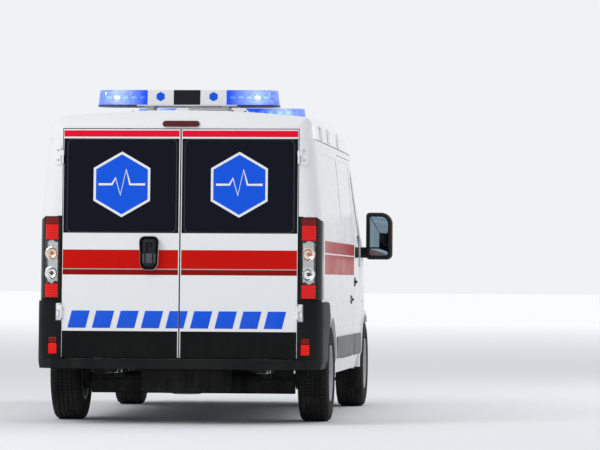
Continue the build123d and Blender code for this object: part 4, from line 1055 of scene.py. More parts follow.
def tray_finish():
    material = finish("tray_aluminium", zinc_grey, Metallic=0.2)
    tree = material.node_tree
    middle = between(tree, places(tree)[0], -1, tray_pale_half)
    return weather(material, over(tree, tray_blue, zinc_grey, middle), 0.35, 0.5, 0.5, 0.2, 300, 0.1)


def tray_nuts():
    nuts = []
    for y in tray_feet:
        for x in (-0.36, 0.36):
            for shift in (-0.045, 0.045):
                place, normal = touch("roof", (x + shift, y, above_z), (0, 0, -1))
                nuts.append(aim(turn(tray_nut_rows, 6), place, normal))
    fitted(join(*nuts), "tray_nuts", "body", zinc)


dress_nodes(tray_finish(), "light_bar_bases")
tray_nuts()


# Roof vent: a vacuum-formed white cowl over the load space fan, with a raised lid and four black
# louvres on its rear slope.
vent_low, vent_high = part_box("roof_vent")
lid_size, lid_edge, lid_rim, lid_dip = (0.350, 0.270, 0.014), 0.006, 0.018, 0.004
slat_size, slat_edge = (0.320, 0.006, 0.0056), 0.0015
slat_count, slat_first, slat_pitch = 4, 2.296, 0.011


def roof_vent():
    middle = (vent_low + vent_high) / 2
    lid = brick((0, middle.y, vent_high.z + 0.003), lid_size, lid_edge, 3)
    dished(lid, facing(2, 0.95), lid_rim, (0, 0, -lid_dip))
    fitted(lid, "vent_lid", "body", white_plastic)
    slats = []
    for number in range(slat_count):
        z = slat_first + number * slat_pitch
        place, normal = touch("roof_vent", (0, behind_y, z), (0, 1, 0))
        slats.append(brick(place, slat_size, slat_edge))
    fitted(join(*slats), "vent_louvres", "body", black_plastic)


white_plastic = moulded_plastic("white_plastic", (0.80, 0.80, 0.80), 0.3, 0.45, 0.2, 0.1)
dress_nodes(white_plastic, "roof_vent")
roof_vent()


# Cant rail pads: white caps over the roof bar sockets, three a side on the shoulder of the roof,
# each with a black plug at its foot. A black sealant line runs in the roof seam below them.
beside_x = 1.6
pad_places = (-2.02, -1.36, -0.45)
pad_height = 2.075
pad_size, pad_foot, pad_edge, pad_rim, pad_dip = (0.100, 0.104, 0.010), 0.002, 0.006, 0.012, 0.002
plug_ahead, plug_below = 0.06, 0.038
plug_rows = ((0.014, -0.002), (0.014, 0.004), (0.011, 0.007), (0.004, 0.0075))
seam_rear, seam_front, seam_steps = -2.50, 1.10, 40
seam_height, seam_drop, sealant_radius = 2.0165, 0.004, 0.0028


def cant_pads(side, name):
    pads, plugs = [], []
    for y in pad_places:
        place, normal = touch("roof", (side * beside_x, y, pad_height), (-side, 0, 0))
        pad = brick((0, 0, pad_size[2] / 2 - pad_foot), pad_size, pad_edge, 3)
        dished(pad, facing(2, 0.95), pad_rim, (0, 0, -pad_dip))
        pads.append(aim(pad, place, normal))
        beside = (side * beside_x, y + plug_ahead, pad_height - plug_below)
        foot, slope = touch("roof", beside, (-side, 0, 0))
        plugs.append(aim(turn(plug_rows, 20), foot, slope))
    fitted(join(*pads), f"cant_pads_{name}", "body", top_paint)
    fitted(join(*plugs), f"cant_plugs_{name}", "body", black_plastic)


def seam_line(side, name):
    """Sealant that follows the roof seam, laid against the body side just under the roof."""
    points = []
    for number in range(seam_steps + 1):
        y = seam_rear + number * (seam_front - seam_rear) / seam_steps
        place, normal = touch("roof", (side * beside_x, y, seam_height), (-side, 0, 0))
        if place is not None:
            points.append(place + normal * 0.0005 + Vector((0, 0, -seam_drop)))
    fitted(rod_along(points, sealant_radius), f"seam_line_{name}", "body", rubber)


for side, name in sides:
    cant_pads(side, name)
    seam_line(side, name)


# Rear bumper: grained polypropylene corner covers and a step beam, with anti-slip ribs moulded in
# its tread and a red reflector in each corner, whose lower lens carries a painted glow of returned light.
reflector_x, reflector_half = 0.892, 0.030
reflector_low, reflector_split, reflector_high = 0.494, 0.566, 0.612
reflector_proud, reflector_corner, reflector_edge = 0.006, 0.006, 0.002
step_top = 0.459
rib_count, rib_first, rib_pitch = 5, 0.022, 0.017
rib_reach, rib_width, rib_edge = 0.80, 0.008, 0.0015


def step_ribs():
    ribs = []
    for number in range(rib_count):
        y = rear + rib_first + number * rib_pitch
        low, high = (-rib_reach, y, step_top - 0.002), (rib_reach, y + rib_width, step_top + 0.003)
        ribs.append(block(low, high, rib_edge))
    fitted(join(*ribs), "step_ribs", "body", black_plastic)


def reflector(side, low, high, name, material):
    """A round-cornered lens that stands out of a corner cover and faces the way the cover does."""
    place, normal = touch("rear_bumper", (side * reflector_x, behind_y, (low + high) / 2), (0, 1, 0))
    half = (high - low) / 2
    lens = rounded_plate(
        (-reflector_half, -reflector_proud, -half), (reflector_half, 0.002, half),
        reflector_corner, reflector_edge,
    )
    turned(lens, math.atan2(normal.x, -normal.y), "Z", (0, 0, 0))
    fitted(moved(lens, place), name, "body", material)


bumper_plastic = moulded_plastic("bumper_plastic", (0.006, 0.008, 0.008), 0.45, 0.6, 0.05, 0.3, 0.1)
# The reflector's faint emission is a painted glow that stands in for the light it sends back; it is no lamp.
reflector_red = lens_red("reflector_red", (0.85, 0.004, 0.003), 0.35)
dress_nodes(bumper_plastic, "rear_bumper")
step_ribs()
for side, name in sides:
    reflector(side, reflector_low, reflector_split, f"reflector_{name}", reflector_red)
    reflector(side, reflector_split + 0.002, reflector_high, f"reflector_cap_{name}", lens_dark_red)


# Side cladding and handles: grey moulded strips clipped along the sill, black pull handles on
# backing plates, and a lock barrel beside each.
clad_grey = (0.13, 0.14, 0.15)
clad_split_height = 0.75
grip_reach, grip_share, grip_round = 0.019, 0.55, 0.0055
bow_rim_share, bow_depth = 0.2, 0.006
backing_beyond, backing_above, backing_proud, backing_edge = 0.012, 0.014, 0.004, 0.0018
cab_handle_ends = ((0.6565, 0.7665), (0.990, 1.030))
sliding_handle_ends = ((0.2535, 0.3835), (0.855, 0.890))
key_beyond = 0.030
key_rows = ((0.010, 0), (0.010, 0.005), (0.008, 0.007), (0.0065, 0.006))
handle_parts = (("plate", black_plastic), ("grip", black_plastic), ("lock", zinc))


def cladding(node, name, body):
    """The part of a side trim piece that lies below its handles, as a strip."""
    strip = cut_away(copy_of(node), ((0, 0, clad_split_height), (0, 0, 1)))
    fitted(strip, name, body, clad_plastic)
    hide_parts(node)


def pull_handle(side, ground, y_ends, z_ends, key_way):
    """A bow handle seen from its own side: a backing plate, a bowed grip and a lock barrel."""
    middle_y, middle_z = sum(y_ends) / 2, sum(z_ends) / 2
    place, normal = touch(ground, (side * beside_x, middle_y, middle_z), (-side, 0, 0))
    half, tall = (y_ends[1] - y_ends[0]) / 2, (z_ends[1] - z_ends[0]) / 2
    beyond, above = half + backing_beyond, tall + backing_above
    backing = block((-beyond, -above, 0.0003), (beyond, above, backing_proud), backing_edge)
    grip_half = tall * grip_share
    grip = block((-half, -grip_half, 0.002), (half, grip_half, grip_reach), grip_round, 3)
    dished(grip, facing(2, -0.9), tall * bow_rim_share, (0, 0, bow_depth))
    barrel = moved(turn(key_rows, 24), (key_way * (half + key_beyond), 0, 0))
    return [aim(piece, place, normal) for piece in (backing, grip, barrel)]


clad_plastic = moulded_plastic("clad_plastic", clad_grey, 0.42, 0.6, 0.5, 0.3)
for side, name in sides:
    cladding(f"cab_trim_{name}", f"cab_cladding_{name}", f"cab_door_{name}")
    pieces = pull_handle(side, f"cab_door_{name}", *cab_handle_ends, side)
    for piece, (part, material) in zip(pieces, handle_parts):
        fitted(piece, f"cab_handle_{part}_{name}", f"cab_door_{name}", material)
cladding("side_cladding", "side_cladding_strips", "body")
pieces = pull_handle(1, "sliding_door", *sliding_handle_ends, -1)
for piece, (part, material) in zip(pieces, handle_parts):
    fitted(piece, f"sliding_handle_{part}", "body", material)


# Door mirrors: black moulded shells on short arms. Each holds a main glass over a small wide-angle
# glass, both facing rearward in a recess, and an amber repeater on its outer edge.
mirror_split_low, mirror_split_high = 1.278, 1.290
mirror_inner, mirror_rim, mirror_recess = 1.05, 0.006, 0.016
mirror_glass_wall, mirror_glass_set_in = 0.003, 0.006
# The glass colour is partly its own blue tint and partly a painted reflection: it is darkened to stand in
# for the dark surroundings the mirror would show.
mirror_tint_and_painted_reflection = (0.24, 0.33, 0.39)
repeater_x, repeater_y, repeater_z, repeater_edge = (-0.012, 0.004), (0.028, 0.070), (1.330, 1.470), 0.006


def rim_of(name, back, width):
    """A copy of a mirror shell with its flat rear face made one, drawn in by a width and picked."""
    shell = copy_of(name)

    def is_rear_face(centre, normal):
        return normal.y < -0.999 and abs(centre.x) > mirror_inner and centre.y < back + 0.001

    pick(shell, is_rear_face)
    bpy.ops.mesh.dissolve_faces()
    bpy.ops.mesh.inset(thickness=width)
    return shell


def glass_sheet(name, back):
    """The glass of a mirror: its rear face drawn in a little, cut free and given a thickness."""
    sheet = rim_of(name, back, mirror_rim + 0.001)
    bpy.ops.mesh.select_all(action="INVERT")
    bpy.ops.mesh.delete(type="FACE")
    bpy.ops.mesh.select_all(action="SELECT")
    bpy.ops.mesh.solidify(thickness=-mirror_glass_wall)
    close_edit(outward=True)
    return moved(sheet, (0, mirror_glass_set_in, 0))


def door_mirror(side, name):
    node, door = f"mirror_{name}", f"cab_door_{name}"
    low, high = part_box(node)
    back, edge = low.y, max(high.x, -low.x)
    shell = rim_of(node, back, mirror_rim)
    bpy.ops.mesh.extrude_region_move(TRANSFORM_OT_translate={"value": (0, mirror_recess, 0)})
    close_edit()
    fitted(shell, f"mirror_shell_{name}", door, black_plastic)
    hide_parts(node)
    for split, waste, part in ((mirror_split_high, -1, "main"), (mirror_split_low, 1, "wide")):
        glass = cut_away(glass_sheet(node, back), ((0, 0, split), (0, 0, waste)))
        fitted(glass, f"mirror_glass_{part}_{name}", door, mirror_glass)
    low_x, high_x = sorted(side * (edge + reach) for reach in repeater_x)
    (low_y, high_y), (low_z, high_z) = repeater_y, repeater_z
    repeater = block((low_x, back + low_y, low_z), (high_x, back + high_y, high_z), repeater_edge, 3)
    fitted(repeater, f"mirror_repeater_{name}", door, amber_lens)


# Metal glass whose tint is partly a painted reflection of dark surroundings.
mirror_glass = worn("mirror_glass", mirror_tint_and_painted_reflection, 0.03, 0.09, 0.5, 0.1, 40, 0.02, Metallic=1.0)
amber_lens = finish("amber_lens", (0.95, 0.28, 0.02), 0.15, Transmission_Weight=0.25, Coat_Weight=0.4)
for side, name in sides:
    door_mirror(side, name)


# Wheels: radial van tyres with five ribs cut into blocks, on pressed steel wheels. Each wheel is a
# rolled rim and a domed disc with round vents, five nuts, a hub cap and a rubber valve.
tyre_radius = 0.348
block_height, block_inset = 0.008, 0.0022
crown_half = 0.086
grooves = ((0.015, 0.019), (0.048, 0.052))
tread_steps = 84
bead_radius = 0.1905
tyre_flank = (
    (0.100, 0.336), (0.106, 0.326), (0.107, 0.318), (0.1115, 0.300), (0.1118, 0.276), (0.1108, 0.270),
    (0.1118, 0.264), (0.106, 0.236), (0.1075, 0.228), (0.100, 0.212), (0.094, 0.2055), (0.091, bead_radius),
)
flank_panel, flank_across, flank_lip, flank_rise = (0.2745, 0.300), 0.1105, 0.002, 0.0006
rim_rows = (
    (-0.104, 0.202), (-0.098, 0.2035), (-0.095, 0.1905), (-0.070, 0.190), (-0.060, 0.176), (0.040, 0.176),
    (0.060, 0.190), (0.095, 0.1905), (0.098, 0.2035), (0.104, 0.202), (0.1035, 0.190), (0.085, 0.184),
    (0.066, 0.181), (0.052, 0.168), (-0.060, 0.168), (-0.066, 0.182), (-0.1035, 0.190),
)
disc_rows = (
    (0.050, 0.1685), (0.054, 0.160), (0.054, 0.150), (0.047, 0.140), (0.040, 0.130), (0.036, 0.112),
    (0.037, 0.098), (0.043, 0.086), (0.050, 0.079), (0.052, 0.060), (0.052, 0.036),
)
vent_rows, vent_turn, vent_gap = (0.112, 0.130), 30, 15
rim_steps, disc_steps, disc_gauge = 96, 48, 0.005
hub_rows = ((0.034, 0.040), (0.034, 0.058), (0.031, 0.061), (0.026, 0.061), (0.025, 0.066), (0.012, 0.0675))
nut_count, nut_circle, nut_turn = 5, 0.064, 18
nut_rows = (
    (0.016, 0.052), (0.016, 0.055), (0.0125, 0.056), (0.0125, 0.068), (0.010, 0.071), (0.004, 0.0725),
)
valve_place, valve_lean = (0, 0.158, 0.052), (0, -0.35, 1)
valve_rows = ((0.006, 0), (0.006, 0.012), (0.004, 0.016), (0.004, 0.034), (0.003, 0.035))
brake_disc_rows = ((0.052, -0.016), (0.140, -0.016), (0.140, -0.004), (0.052, -0.004))
wheels = (
    ("rear_right", 0.895, -1.6915), ("rear_left", -0.895, -1.6915),
    ("front_right", 0.905, 1.7585), ("front_left", -0.905, 1.7585),
)


def from_axle(centre):
    return math.hypot(centre.x, centre.y)


def tyre_mould():
    """A tyre about the Z axis: its section is turned, then the crown's faces are raised as blocks."""
    low_radius = tyre_radius - block_height
    shoulder = [(radius, along) for along, radius in tyre_flank]
    edges = [edge for groove in grooves for edge in groove] + [crown_half]
    crown = [(low_radius, along) for along in sorted([-edge for edge in edges] + edges)]
    far_side = [(radius, -along) for radius, along in shoulder[::-1]]
    tyre = turn(far_side + crown + shoulder + [(bead_radius, 0.0)], tread_steps, closed=True)

    def is_block(centre, normal):
        across = abs(centre.z)
        on_crown = from_axle(centre) > low_radius - 0.004 and across < crown_half
        return on_crown and not any(low < across < high for low, high in grooves)

    def is_panel(centre, normal):
        return flank_panel[0] < from_axle(centre) < flank_panel[1] and abs(centre.z) > flank_across

    pick(tyre, is_block)
    bpy.ops.mesh.inset(thickness=block_inset, depth=block_height, use_individual=True)
    close_edit()
    pick(tyre, is_panel)
    bpy.ops.mesh.inset(thickness=flank_lip, depth=flank_rise)
    close_edit()
    return tyre


def wheel_disc():
    """The pressed disc about the Z axis, outboard upward. Every other pair of faces is cut for a vent."""
    disc = turn([(radius, along) for along, radius in disc_rows], disc_steps)

    def is_waste(centre, normal):
        is_cap = abs(abs(normal.z) - 1) < 1e-4 and from_axle(centre) < 0.01
        turned_by = math.degrees(math.atan2(centre.y, centre.x)) % vent_turn
        return is_cap or vent_rows[0] < from_axle(centre) < vent_rows[1] and turned_by < vent_gap

    pick(disc, is_waste)
    bpy.ops.mesh.delete(type="FACE")
    close_edit()
    disc.modifiers.new("gauge", "SOLIDIFY").thickness = disc_gauge
    disc.modifiers.new("pressing", "SUBSURF").levels = 1
    for modifier in ("gauge", "pressing"):
        bpy.ops.object.modifier_apply(modifier=modifier)
    return disc


def hub_and_nuts():
    nuts = []
    for number in range(nut_count):
        angle = math.radians(360 / nut_count * number + nut_turn)
        place = (nut_circle * math.cos(angle), nut_circle * math.sin(angle), 0)
        nuts.append(moved(turn(nut_rows, 6), place))
    return join(turn(hub_rows, 32), *nuts)


def fit_wheels():
    """Each part is made once about the Z axis, and copied to the four wheels."""
    rim = turn([(radius, along) for along, radius in rim_rows], rim_steps, closed=True)
    parts = (
        ("tyre", tyre_mould(), tyre_rubber),
        ("steel", join(rim, wheel_disc()), wheel_paint),
        ("nuts", hub_and_nuts(), zinc),
        ("valve", aim(turn(valve_rows, 16), valve_place, valve_lean), rubber),
        ("brake_disc", turn(brake_disc_rows, 64, closed=True), cast_iron),
    )
    for place, x, y in wheels:
        outboard = math.copysign(math.pi / 2, x)
        lies = Matrix.Translation((x, y, tyre_radius)) @ Matrix.Rotation(outboard, 4, "Y")
        for part, source, material in parts:
            if part == "brake_disc" and "rear" in place:
                continue
            piece = object_of(part, source.data.copy())
            piece.data.transform(lies)
            fitted(piece, f"{part}_{place}_dressed", f"wheel_{place}", material)
        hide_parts(f"tyre_{place}")
        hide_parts(f"rim_{place}")
    for part, source, material in parts:
        bpy.data.objects.remove(source)


tyre_rubber = worn(
    "tyre_rubber", (0.009, 0.009, 0.010), 0.7, 0.9, 0.75, 0.1, 700, 0.3, 6, Specular_IOR_Level=0.15
)
wheel_paint = worn("wheel_paint", (0.46, 0.47, 0.48), 0.32, 0.5, 0.8, 0.5, 500, 0.06, 6, Metallic=0.45)
cast_iron = worn("cast_iron", (0.16, 0.15, 0.14), 0.5, 0.75, 0.8, 0.5, 240, 0.4, 9, Metallic=0.6)
fit_wheels()


# Windscreen and cab glass: laminated and toughened glass with a slight green tint. A black ceramic
# border hides the bonding, and two wipers rest along the foot of the screen.
glass_tint = (0.72, 0.80, 0.78)
front = construction_box[1].y
ahead_y = front + 0.5
border_top, border_foot = 1.985, 1.318
border_width, border_lean, border_proud = 0.045, 0.165, 0.0006
wipers = ((-0.60, -0.02), (0.06, 0.62))
wiper_steps, wiper_rise = 8, 0.022
wiper_stand, wiper_edge_stand = 0.012, 0.004
blade_radius, blade_edge_radius, arm_radius = 0.006, 0.003, 0.007
arm_rise, shoulder_rise, shoulder_share, arm_over_blade = 0.012, 0.02, 0.35, (0, 0.012, 0.010)
spindle_beside, spindle_ahead = 0.04, 0.055
spindle_rows = ((0.018, -0.03), (0.018, 0.008), (0.012, 0.014), (0.008, 0.020), (0.002, 0.021))


def screen_border():
    """Four strips cut from a copy of the screen: its head, its foot, and its two sides between them."""
    low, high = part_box("windscreen")
    head, foot = (0, 0, border_top), (0, 0, border_foot)
    inside = high.x - border_width
    strips = []
    for planes in (
        [(head, (0, 0, -1))],
        [(foot, (0, 0, 1))],
        [((inside, 0, low.z), (-1, 0, -border_lean)), (head, (0, 0, 1)), (foot, (0, 0, -1))],
        [((-inside, 0, low.z), (1, 0, -border_lean)), (head, (0, 0, 1)), (foot, (0, 0, -1))],
    ):
        strips.append(swell(cut_away(copy_of("windscreen"), *planes), border_proud))
    fitted(join(*strips), "screen_border", "body", ceramic_black)


def on_glass(x, z, lift):
    """A place above the screen's outer face."""
    place, normal = touch("windscreen", (x, ahead_y, z), (0, -1, 0))
    return place + normal * lift


def wiper(number, start, end):
    """A sprung arm from its spindle on the cowl to the middle of a blade that lies on the glass."""
    line = []
    for step in range(wiper_steps + 1):
        x = start + (end - start) * step / wiper_steps
        line.append(on_glass(x, border_foot + wiper_rise * step / wiper_steps, wiper_stand))
    blade = rod_along(line, blade_radius)
    edge = rod_along([on_glass(point.x, point.z, wiper_edge_stand) for point in line], blade_edge_radius)
    over_spindle = (start - spindle_beside, line[0].y + spindle_ahead, above_z)
    spindle, up = touch("cowl", over_spindle, (0, 0, -1))
    middle = line[wiper_steps // 2]
    shoulder = spindle + up * shoulder_rise + (middle - spindle) * shoulder_share
    arm = rod_along([spindle + up * arm_rise, shoulder, middle + Vector(arm_over_blade), middle], arm_radius)
    nut = aim(turn(spindle_rows, 20), spindle, up)
    fitted(join(blade, edge, arm, nut), f"wiper_{number}", "body", black_plastic)


cab_glass = finish("cab_glass", glass_tint, 0.02, Transmission_Weight=1.0, IOR=1.2)
ceramic_black = finish("ceramic_black", (0.006, 0.006, 0.007), 0.2, Specular_IOR_Level=0.3)
dress_nodes(cab_glass, "windscreen", "cab_glass_left", "cab_glass_right")
screen_border()
for number, (start_x, end_x) in enumerate(wipers):
    wiper(number, start_x, end_x)


# Front end: painted bonnet and wings, black grille bars with a mesh behind them, and a grained
# bumper with a blank number plate and two fog lamps. A bore in it leaves room for a towing eye.
mesh_count, mesh_first, mesh_pitch, mesh_radius = 22, -0.420, 0.040, 0.003
mesh_foot, mesh_head = (front - 0.085, 0.665), (front - 0.125, 0.850)
duct_half, duct_low, duct_high, duct_edge = 0.440, 0.300, 0.530, 0.003
duct_back, duct_face, fin_place, fin_radius = front - 0.152, front - 0.142, front - 0.141, 0.006
duct_fins = (0.320, 0.345, 0.370, 0.395, 0.420, 0.445, 0.470, 0.495)
fog_x, fog_z = 0.640, 0.430
fog_bezel_rows = ((0.062, -0.004), (0.062, 0.004), (0.056, 0.009), (0.049, 0.009), (0.045, 0.004))
fog_lens_rows = ((0.045, 0.002), (0.043, 0.008), (0.030, 0.012), (0.010, 0.0135))
plate_half, plate_low, plate_high = 0.260, 0.535, 0.632
holder_beyond, holder_above = 0.012, 0.010


def grille_and_duct():
    bars = []
    for number in range(mesh_count):
        x = mesh_first + number * mesh_pitch
        bars.append(rod_along([(x, *mesh_foot), (x, *mesh_head)], mesh_radius, roundness=2))
    fitted(join(*bars), "grille_mesh", "body", black_plastic)
    duct = block((-duct_half, duct_back, duct_low), (duct_half, duct_face, duct_high), duct_edge)
    fins = []
    for z in duct_fins:
        fins.append(rod_along([(-duct_half, fin_place, z), (duct_half, fin_place, z)], fin_radius))
    fitted(join(duct, *fins), "bumper_duct", "body", black_plastic)


def fog_lamp(side, name):
    place, normal = touch("front_bumper", (side * fog_x, ahead_y, fog_z), (0, -1, 0))
    bezel = aim(turn(fog_bezel_rows, 40), place, normal)
    lens = aim(turn(fog_lens_rows, 40), place, normal)
    fitted(bezel, f"fog_bezel_{name}", "body", black_plastic)
    fitted(lens, f"fog_lens_{name}", "body", lamp_glass)


def number_plate():
    place, normal = touch("front_bumper", (0, ahead_y, (plate_low + plate_high) / 2), (0, -1, 0))
    half = (plate_high - plate_low) / 2
    width, height = plate_half + holder_beyond, half + holder_above
    holder = block((-width, -0.030, -height), (width, -0.001, height), 0.004)
    plate = block((-plate_half, -0.003, -half), (plate_half, 0.001, half), 0.0012)
    fitted(moved(holder, place), "plate_holder", "body", black_plastic)
    fitted(moved(plate, place), "blank_plate", "body", plate_white)


lamp_glass = finish("lamp_glass", (0.85, 0.88, 0.90), 0.08, Metallic=0.5, Coat_Weight=0.8)
plate_white = worn("plate_white", (0.82, 0.82, 0.80), 0.3, 0.45, 0.7, 0.3, 200, 0.05)
front_plastic = moulded_plastic("front_plastic", (0.040, 0.043, 0.044), 0.42, 0.6, 0.3, 0.3)
dress_nodes(side_paint, "bonnet", "front_wing_left", "front_wing_right")
dress_nodes(black_plastic, "cowl", "grille")
dress_nodes(front_plastic, "front_bumper")
grille_and_duct()
for side, name in sides:
    fog_lamp(side, name)
number_plate()


# Headlamps: clear polycarbonate lenses, bonded round their rim to a black moulded tray. Each tray
# carries three chromed reflector bowls.
headlamp_bowls = ((0.560, 0.770, 0.052), (0.700, 0.768, 0.056), (0.835, 0.770, 0.040))
headlamp_tray_step, headlamp_bowl_sunk = 0.014, 0.0155
headlamp_rows = (
    (1, -0.004), (1, 0.009), (0.94, 0.0105), (0.86, 0.009), (0.62, 0.004), (0.3, 0.001), (0.22, 0.004),
    (0.1, 0.006),
)


def headlamps():
    lens = copy_of("headlamps")
    tray = swell(copy_of("headlamps"), -headlamp_tray_step)
    fitted(lens, "headlamp_lenses", "body", clear_lens)
    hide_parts("headlamps")
    fitted(tray, "headlamp_trays", "body", lamp_black)
    for side, name in sides:
        bowls = []
        for x, z, radius in headlamp_bowls:
            place, normal = touch("headlamps", (side * x, ahead_y, z), (0, -1, 0))
            bowl = turn(sized(headlamp_rows, radius), 40)
            bowls.append(aim(bowl, place - normal * headlamp_bowl_sunk, normal))
        fitted(join(*bowls), f"headlamp_bowls_{name}", "body", chrome)


headlamps()


# Underbody: a black-painted steel frame, springs and axle, a moulded tank, a rusted exhaust and a
# cast engine block. Sprayed underseal covers the floor and the wheel arch liners.
underbody_finishes = (
    ("chassis_paint", (0.010, 0.010, 0.011), 0.5, 0.0, 0.16, 300, 0.15,
     ("chassis_frame", "front_suspension", "rear_axle", "leaf_springs", "knuckle_left", "knuckle_right")),
    ("tank_plastic", (0.010, 0.010, 0.011), 0.55, 0.0, 0.15, 700, 0.2, ("fuel_tank",)),
    ("exhaust_steel", (0.20, 0.15, 0.11), 0.55, 0.7, 0.5, 90, 0.5, ("exhaust",)),
    ("engine_iron", (0.22, 0.22, 0.22), 0.5, 0.7, 0.4, 160, 0.4, ("engine",)),
    ("underseal", (0.008, 0.008, 0.008), 0.85, 0.0, 0.2, 120, 0.6, ("floor_pan", "wheelhouses")),
    ("spare_rubber", (0.008, 0.008, 0.008), 0.8, 0.0, 0.12, 700, 0.3, ("spare_wheel",)),
)
spring_x = 0.540
clip_places = (-2.10, -1.88, -1.50, -1.28)
clip_size, clip_rise, clip_edge = (0.084, 0.028, 0.028), 0.010, 0.003
spare_centre = (0, -2.131)
dish_rows = (
    (0.150, 0.012), (0.162, 0.004), (0.160, -0.004), (0.110, -0.006), (0.095, -0.012), (0.060, -0.012),
    (0.040, -0.004),
)


def underbody():
    for name, colour, roughness, metal, dirt, scale, depth, pieces in underbody_finishes:
        material = worn(
            name, colour, roughness - 0.1, roughness + 0.1, 0.95, dirt, scale, depth, 5,
            Metallic=metal, Specular_IOR_Level=0.15,
        )
        dress_nodes(material, *pieces)
    clips = []
    for x in (-spring_x, spring_x):
        for y in clip_places:
            place, normal = touch("leaf_springs", (x, y, 0.1), (0, 0, 1))
            clips.append(brick((x, y, place.z + clip_rise), clip_size, clip_edge))
    fitted(join(*clips), "spring_clips", "body", zinc)
    dish = moved(turn(dish_rows, 48), (*spare_centre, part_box("spare_wheel")[0].z - 0.001))
    fitted(dish, "spare_dish", "body", wheel_paint)


underbody()


# Cab trim: grained dashboard, bulkhead and steering wheel mouldings with vents, a dial cluster
# under a hood, a dark screen with three knobs along its top edge, and a gear lever in front of it.
dash_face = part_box("dashboard")[0].y
vent_places = ((-0.800, 1.000), (-0.110, 1.020), (0.110, 1.020), (0.800, 1.000))
vent_radius, slat_step, slat_half = 0.040, 0.012, 0.0015
vent_ring_rows = ((1, -0.004), (1, 0.005), (0.93, 0.008), (0.84, 0.005), (0.82, -0.003))
screen_half, screen_low, screen_high = 0.105, 0.905, 0.972
knob_places, knob_z = (-0.070, 0.0, 0.070), 0.980
knob_rows = ((0.020, 0), (0.020, 0.004), (0.016, 0.006), (0.015, 0.020), (0.012, 0.022), (0.004, 0.0215))
driver_x = -0.430
hood_half, hood_y, hood_z, hood_edge = 0.180, (1.285, 1.440), (1.140, 1.212), 0.028
hood_rim, hood_depth = 0.012, 0.040
dials = ((-0.085, 0.026), (0.085, 0.026), (0.0, 0.018))
dial_y, dial_z = 1.324, 1.176
dial_rows = ((1, 0), (1, 0.006), (0.9, 0.007), (0.88, 0.003), (0.1, 0.003), (0.08, 0.005))
wheel_centre, wheel_axis = (driver_x, 1.1765, 1.160), (0, -0.200, 0.130)
wheel_pad_rows = (
    (0.070, -0.012), (0.074, 0.004), (0.070, 0.016), (0.050, 0.023), (0.020, 0.026), (0.004, 0.0265),
)
lever_points = ((0.012, 0.890), (-0.030, 0.910), (-0.070, 0.985))
lever_radius, lever_knob_place, lever_knob_lean = 0.007, (0, dash_face - 0.066, 0.976), (0, -0.3, 1)
lever_knob_rows = ((0.010, 0), (0.020, 0.012), (0.023, 0.028), (0.018, 0.042), (0.006, 0.048))
toward_seats = (0, -1, 0)


def dash_vents():
    """Round vents, each with five slats as long as its ring is wide at their height."""
    rings, slats = [], []
    for x, z in vent_places:
        rings.append(aim(turn(sized(vent_ring_rows, vent_radius), 36), (x, dash_face, z), toward_seats))
        for step in (-2, -1, 0, 1, 2):
            rise = step * slat_step
            reach = math.sqrt(vent_radius ** 2 * 0.68 - rise ** 2)
            slats.append(block(
                (x - reach, dash_face - 0.006, z + rise - slat_half),
                (x + reach, dash_face + 0.002, z + rise + slat_half),
            ))
    fitted(join(*rings, *slats), "dash_vents", "body", black_plastic)


def screen_and_knobs():
    screen = rounded_plate(
        (-screen_half, dash_face - 0.010, screen_low), (screen_half, dash_face + 0.004, screen_high),
        0.008, 0.003,
    )
    fitted(screen, "dash_screen", "body", screen_glass)
    knobs = [aim(turn(knob_rows, 28), (x, dash_face - 0.001, knob_z), toward_seats) for x in knob_places]
    fitted(join(*knobs), "dash_knobs", "body", grey_plastic)


def dial_cluster():
    low, high = (driver_x - hood_half, hood_y[0], hood_z[0]), (driver_x + hood_half, hood_y[1], hood_z[1])
    hood = block(low, high, hood_edge, 5)
    dished(hood, facing(1, -0.99), hood_rim, (0, hood_depth, 0))
    fitted(hood, "dial_hood", "body", dash_grain)
    faces = []
    for x, radius in dials:
        faces.append(aim(turn(sized(dial_rows, radius), 32), (driver_x + x, dial_y, dial_z), toward_seats))
    fitted(join(*faces), "dials", "body", screen_glass)


def wheel_pad_and_lever():
    pad = aim(turn(wheel_pad_rows, 40), wheel_centre, wheel_axis)
    fitted(pad, "wheel_pad", "body", dash_grain)
    lever = rod_along([(0, dash_face + y, z) for y, z in lever_points], lever_radius)
    knob = aim(turn(lever_knob_rows, 28), lever_knob_place, lever_knob_lean)
    fitted(join(lever, knob), "gear_lever", "body", black_plastic)


grey_plastic = moulded_plastic("grey_plastic", (0.16, 0.165, 0.17))
dash_grain = moulded_plastic("dash_grain", (0.030, 0.032, 0.035), 0.5, 0.68, 0.05, 0.5)
bulkhead_grain = moulded_plastic("bulkhead_grain", (0.30, 0.31, 0.32), 0.5, 0.65, 0.05, 0.4)
screen_glass = worn("screen_glass", (0.008, 0.009, 0.012), 0.08, 0.2, 0.3, 0.0, 200, 0.01, Coat_Weight=0.5)
dress_nodes(dash_grain, "dashboard")
dress_nodes(bulkhead_grain, "bulkhead")
dress_nodes(black_plastic, "steering_wheel")
dash_vents()
screen_and_knobs()
dial_cluster()
wheel_pad_and_lever()


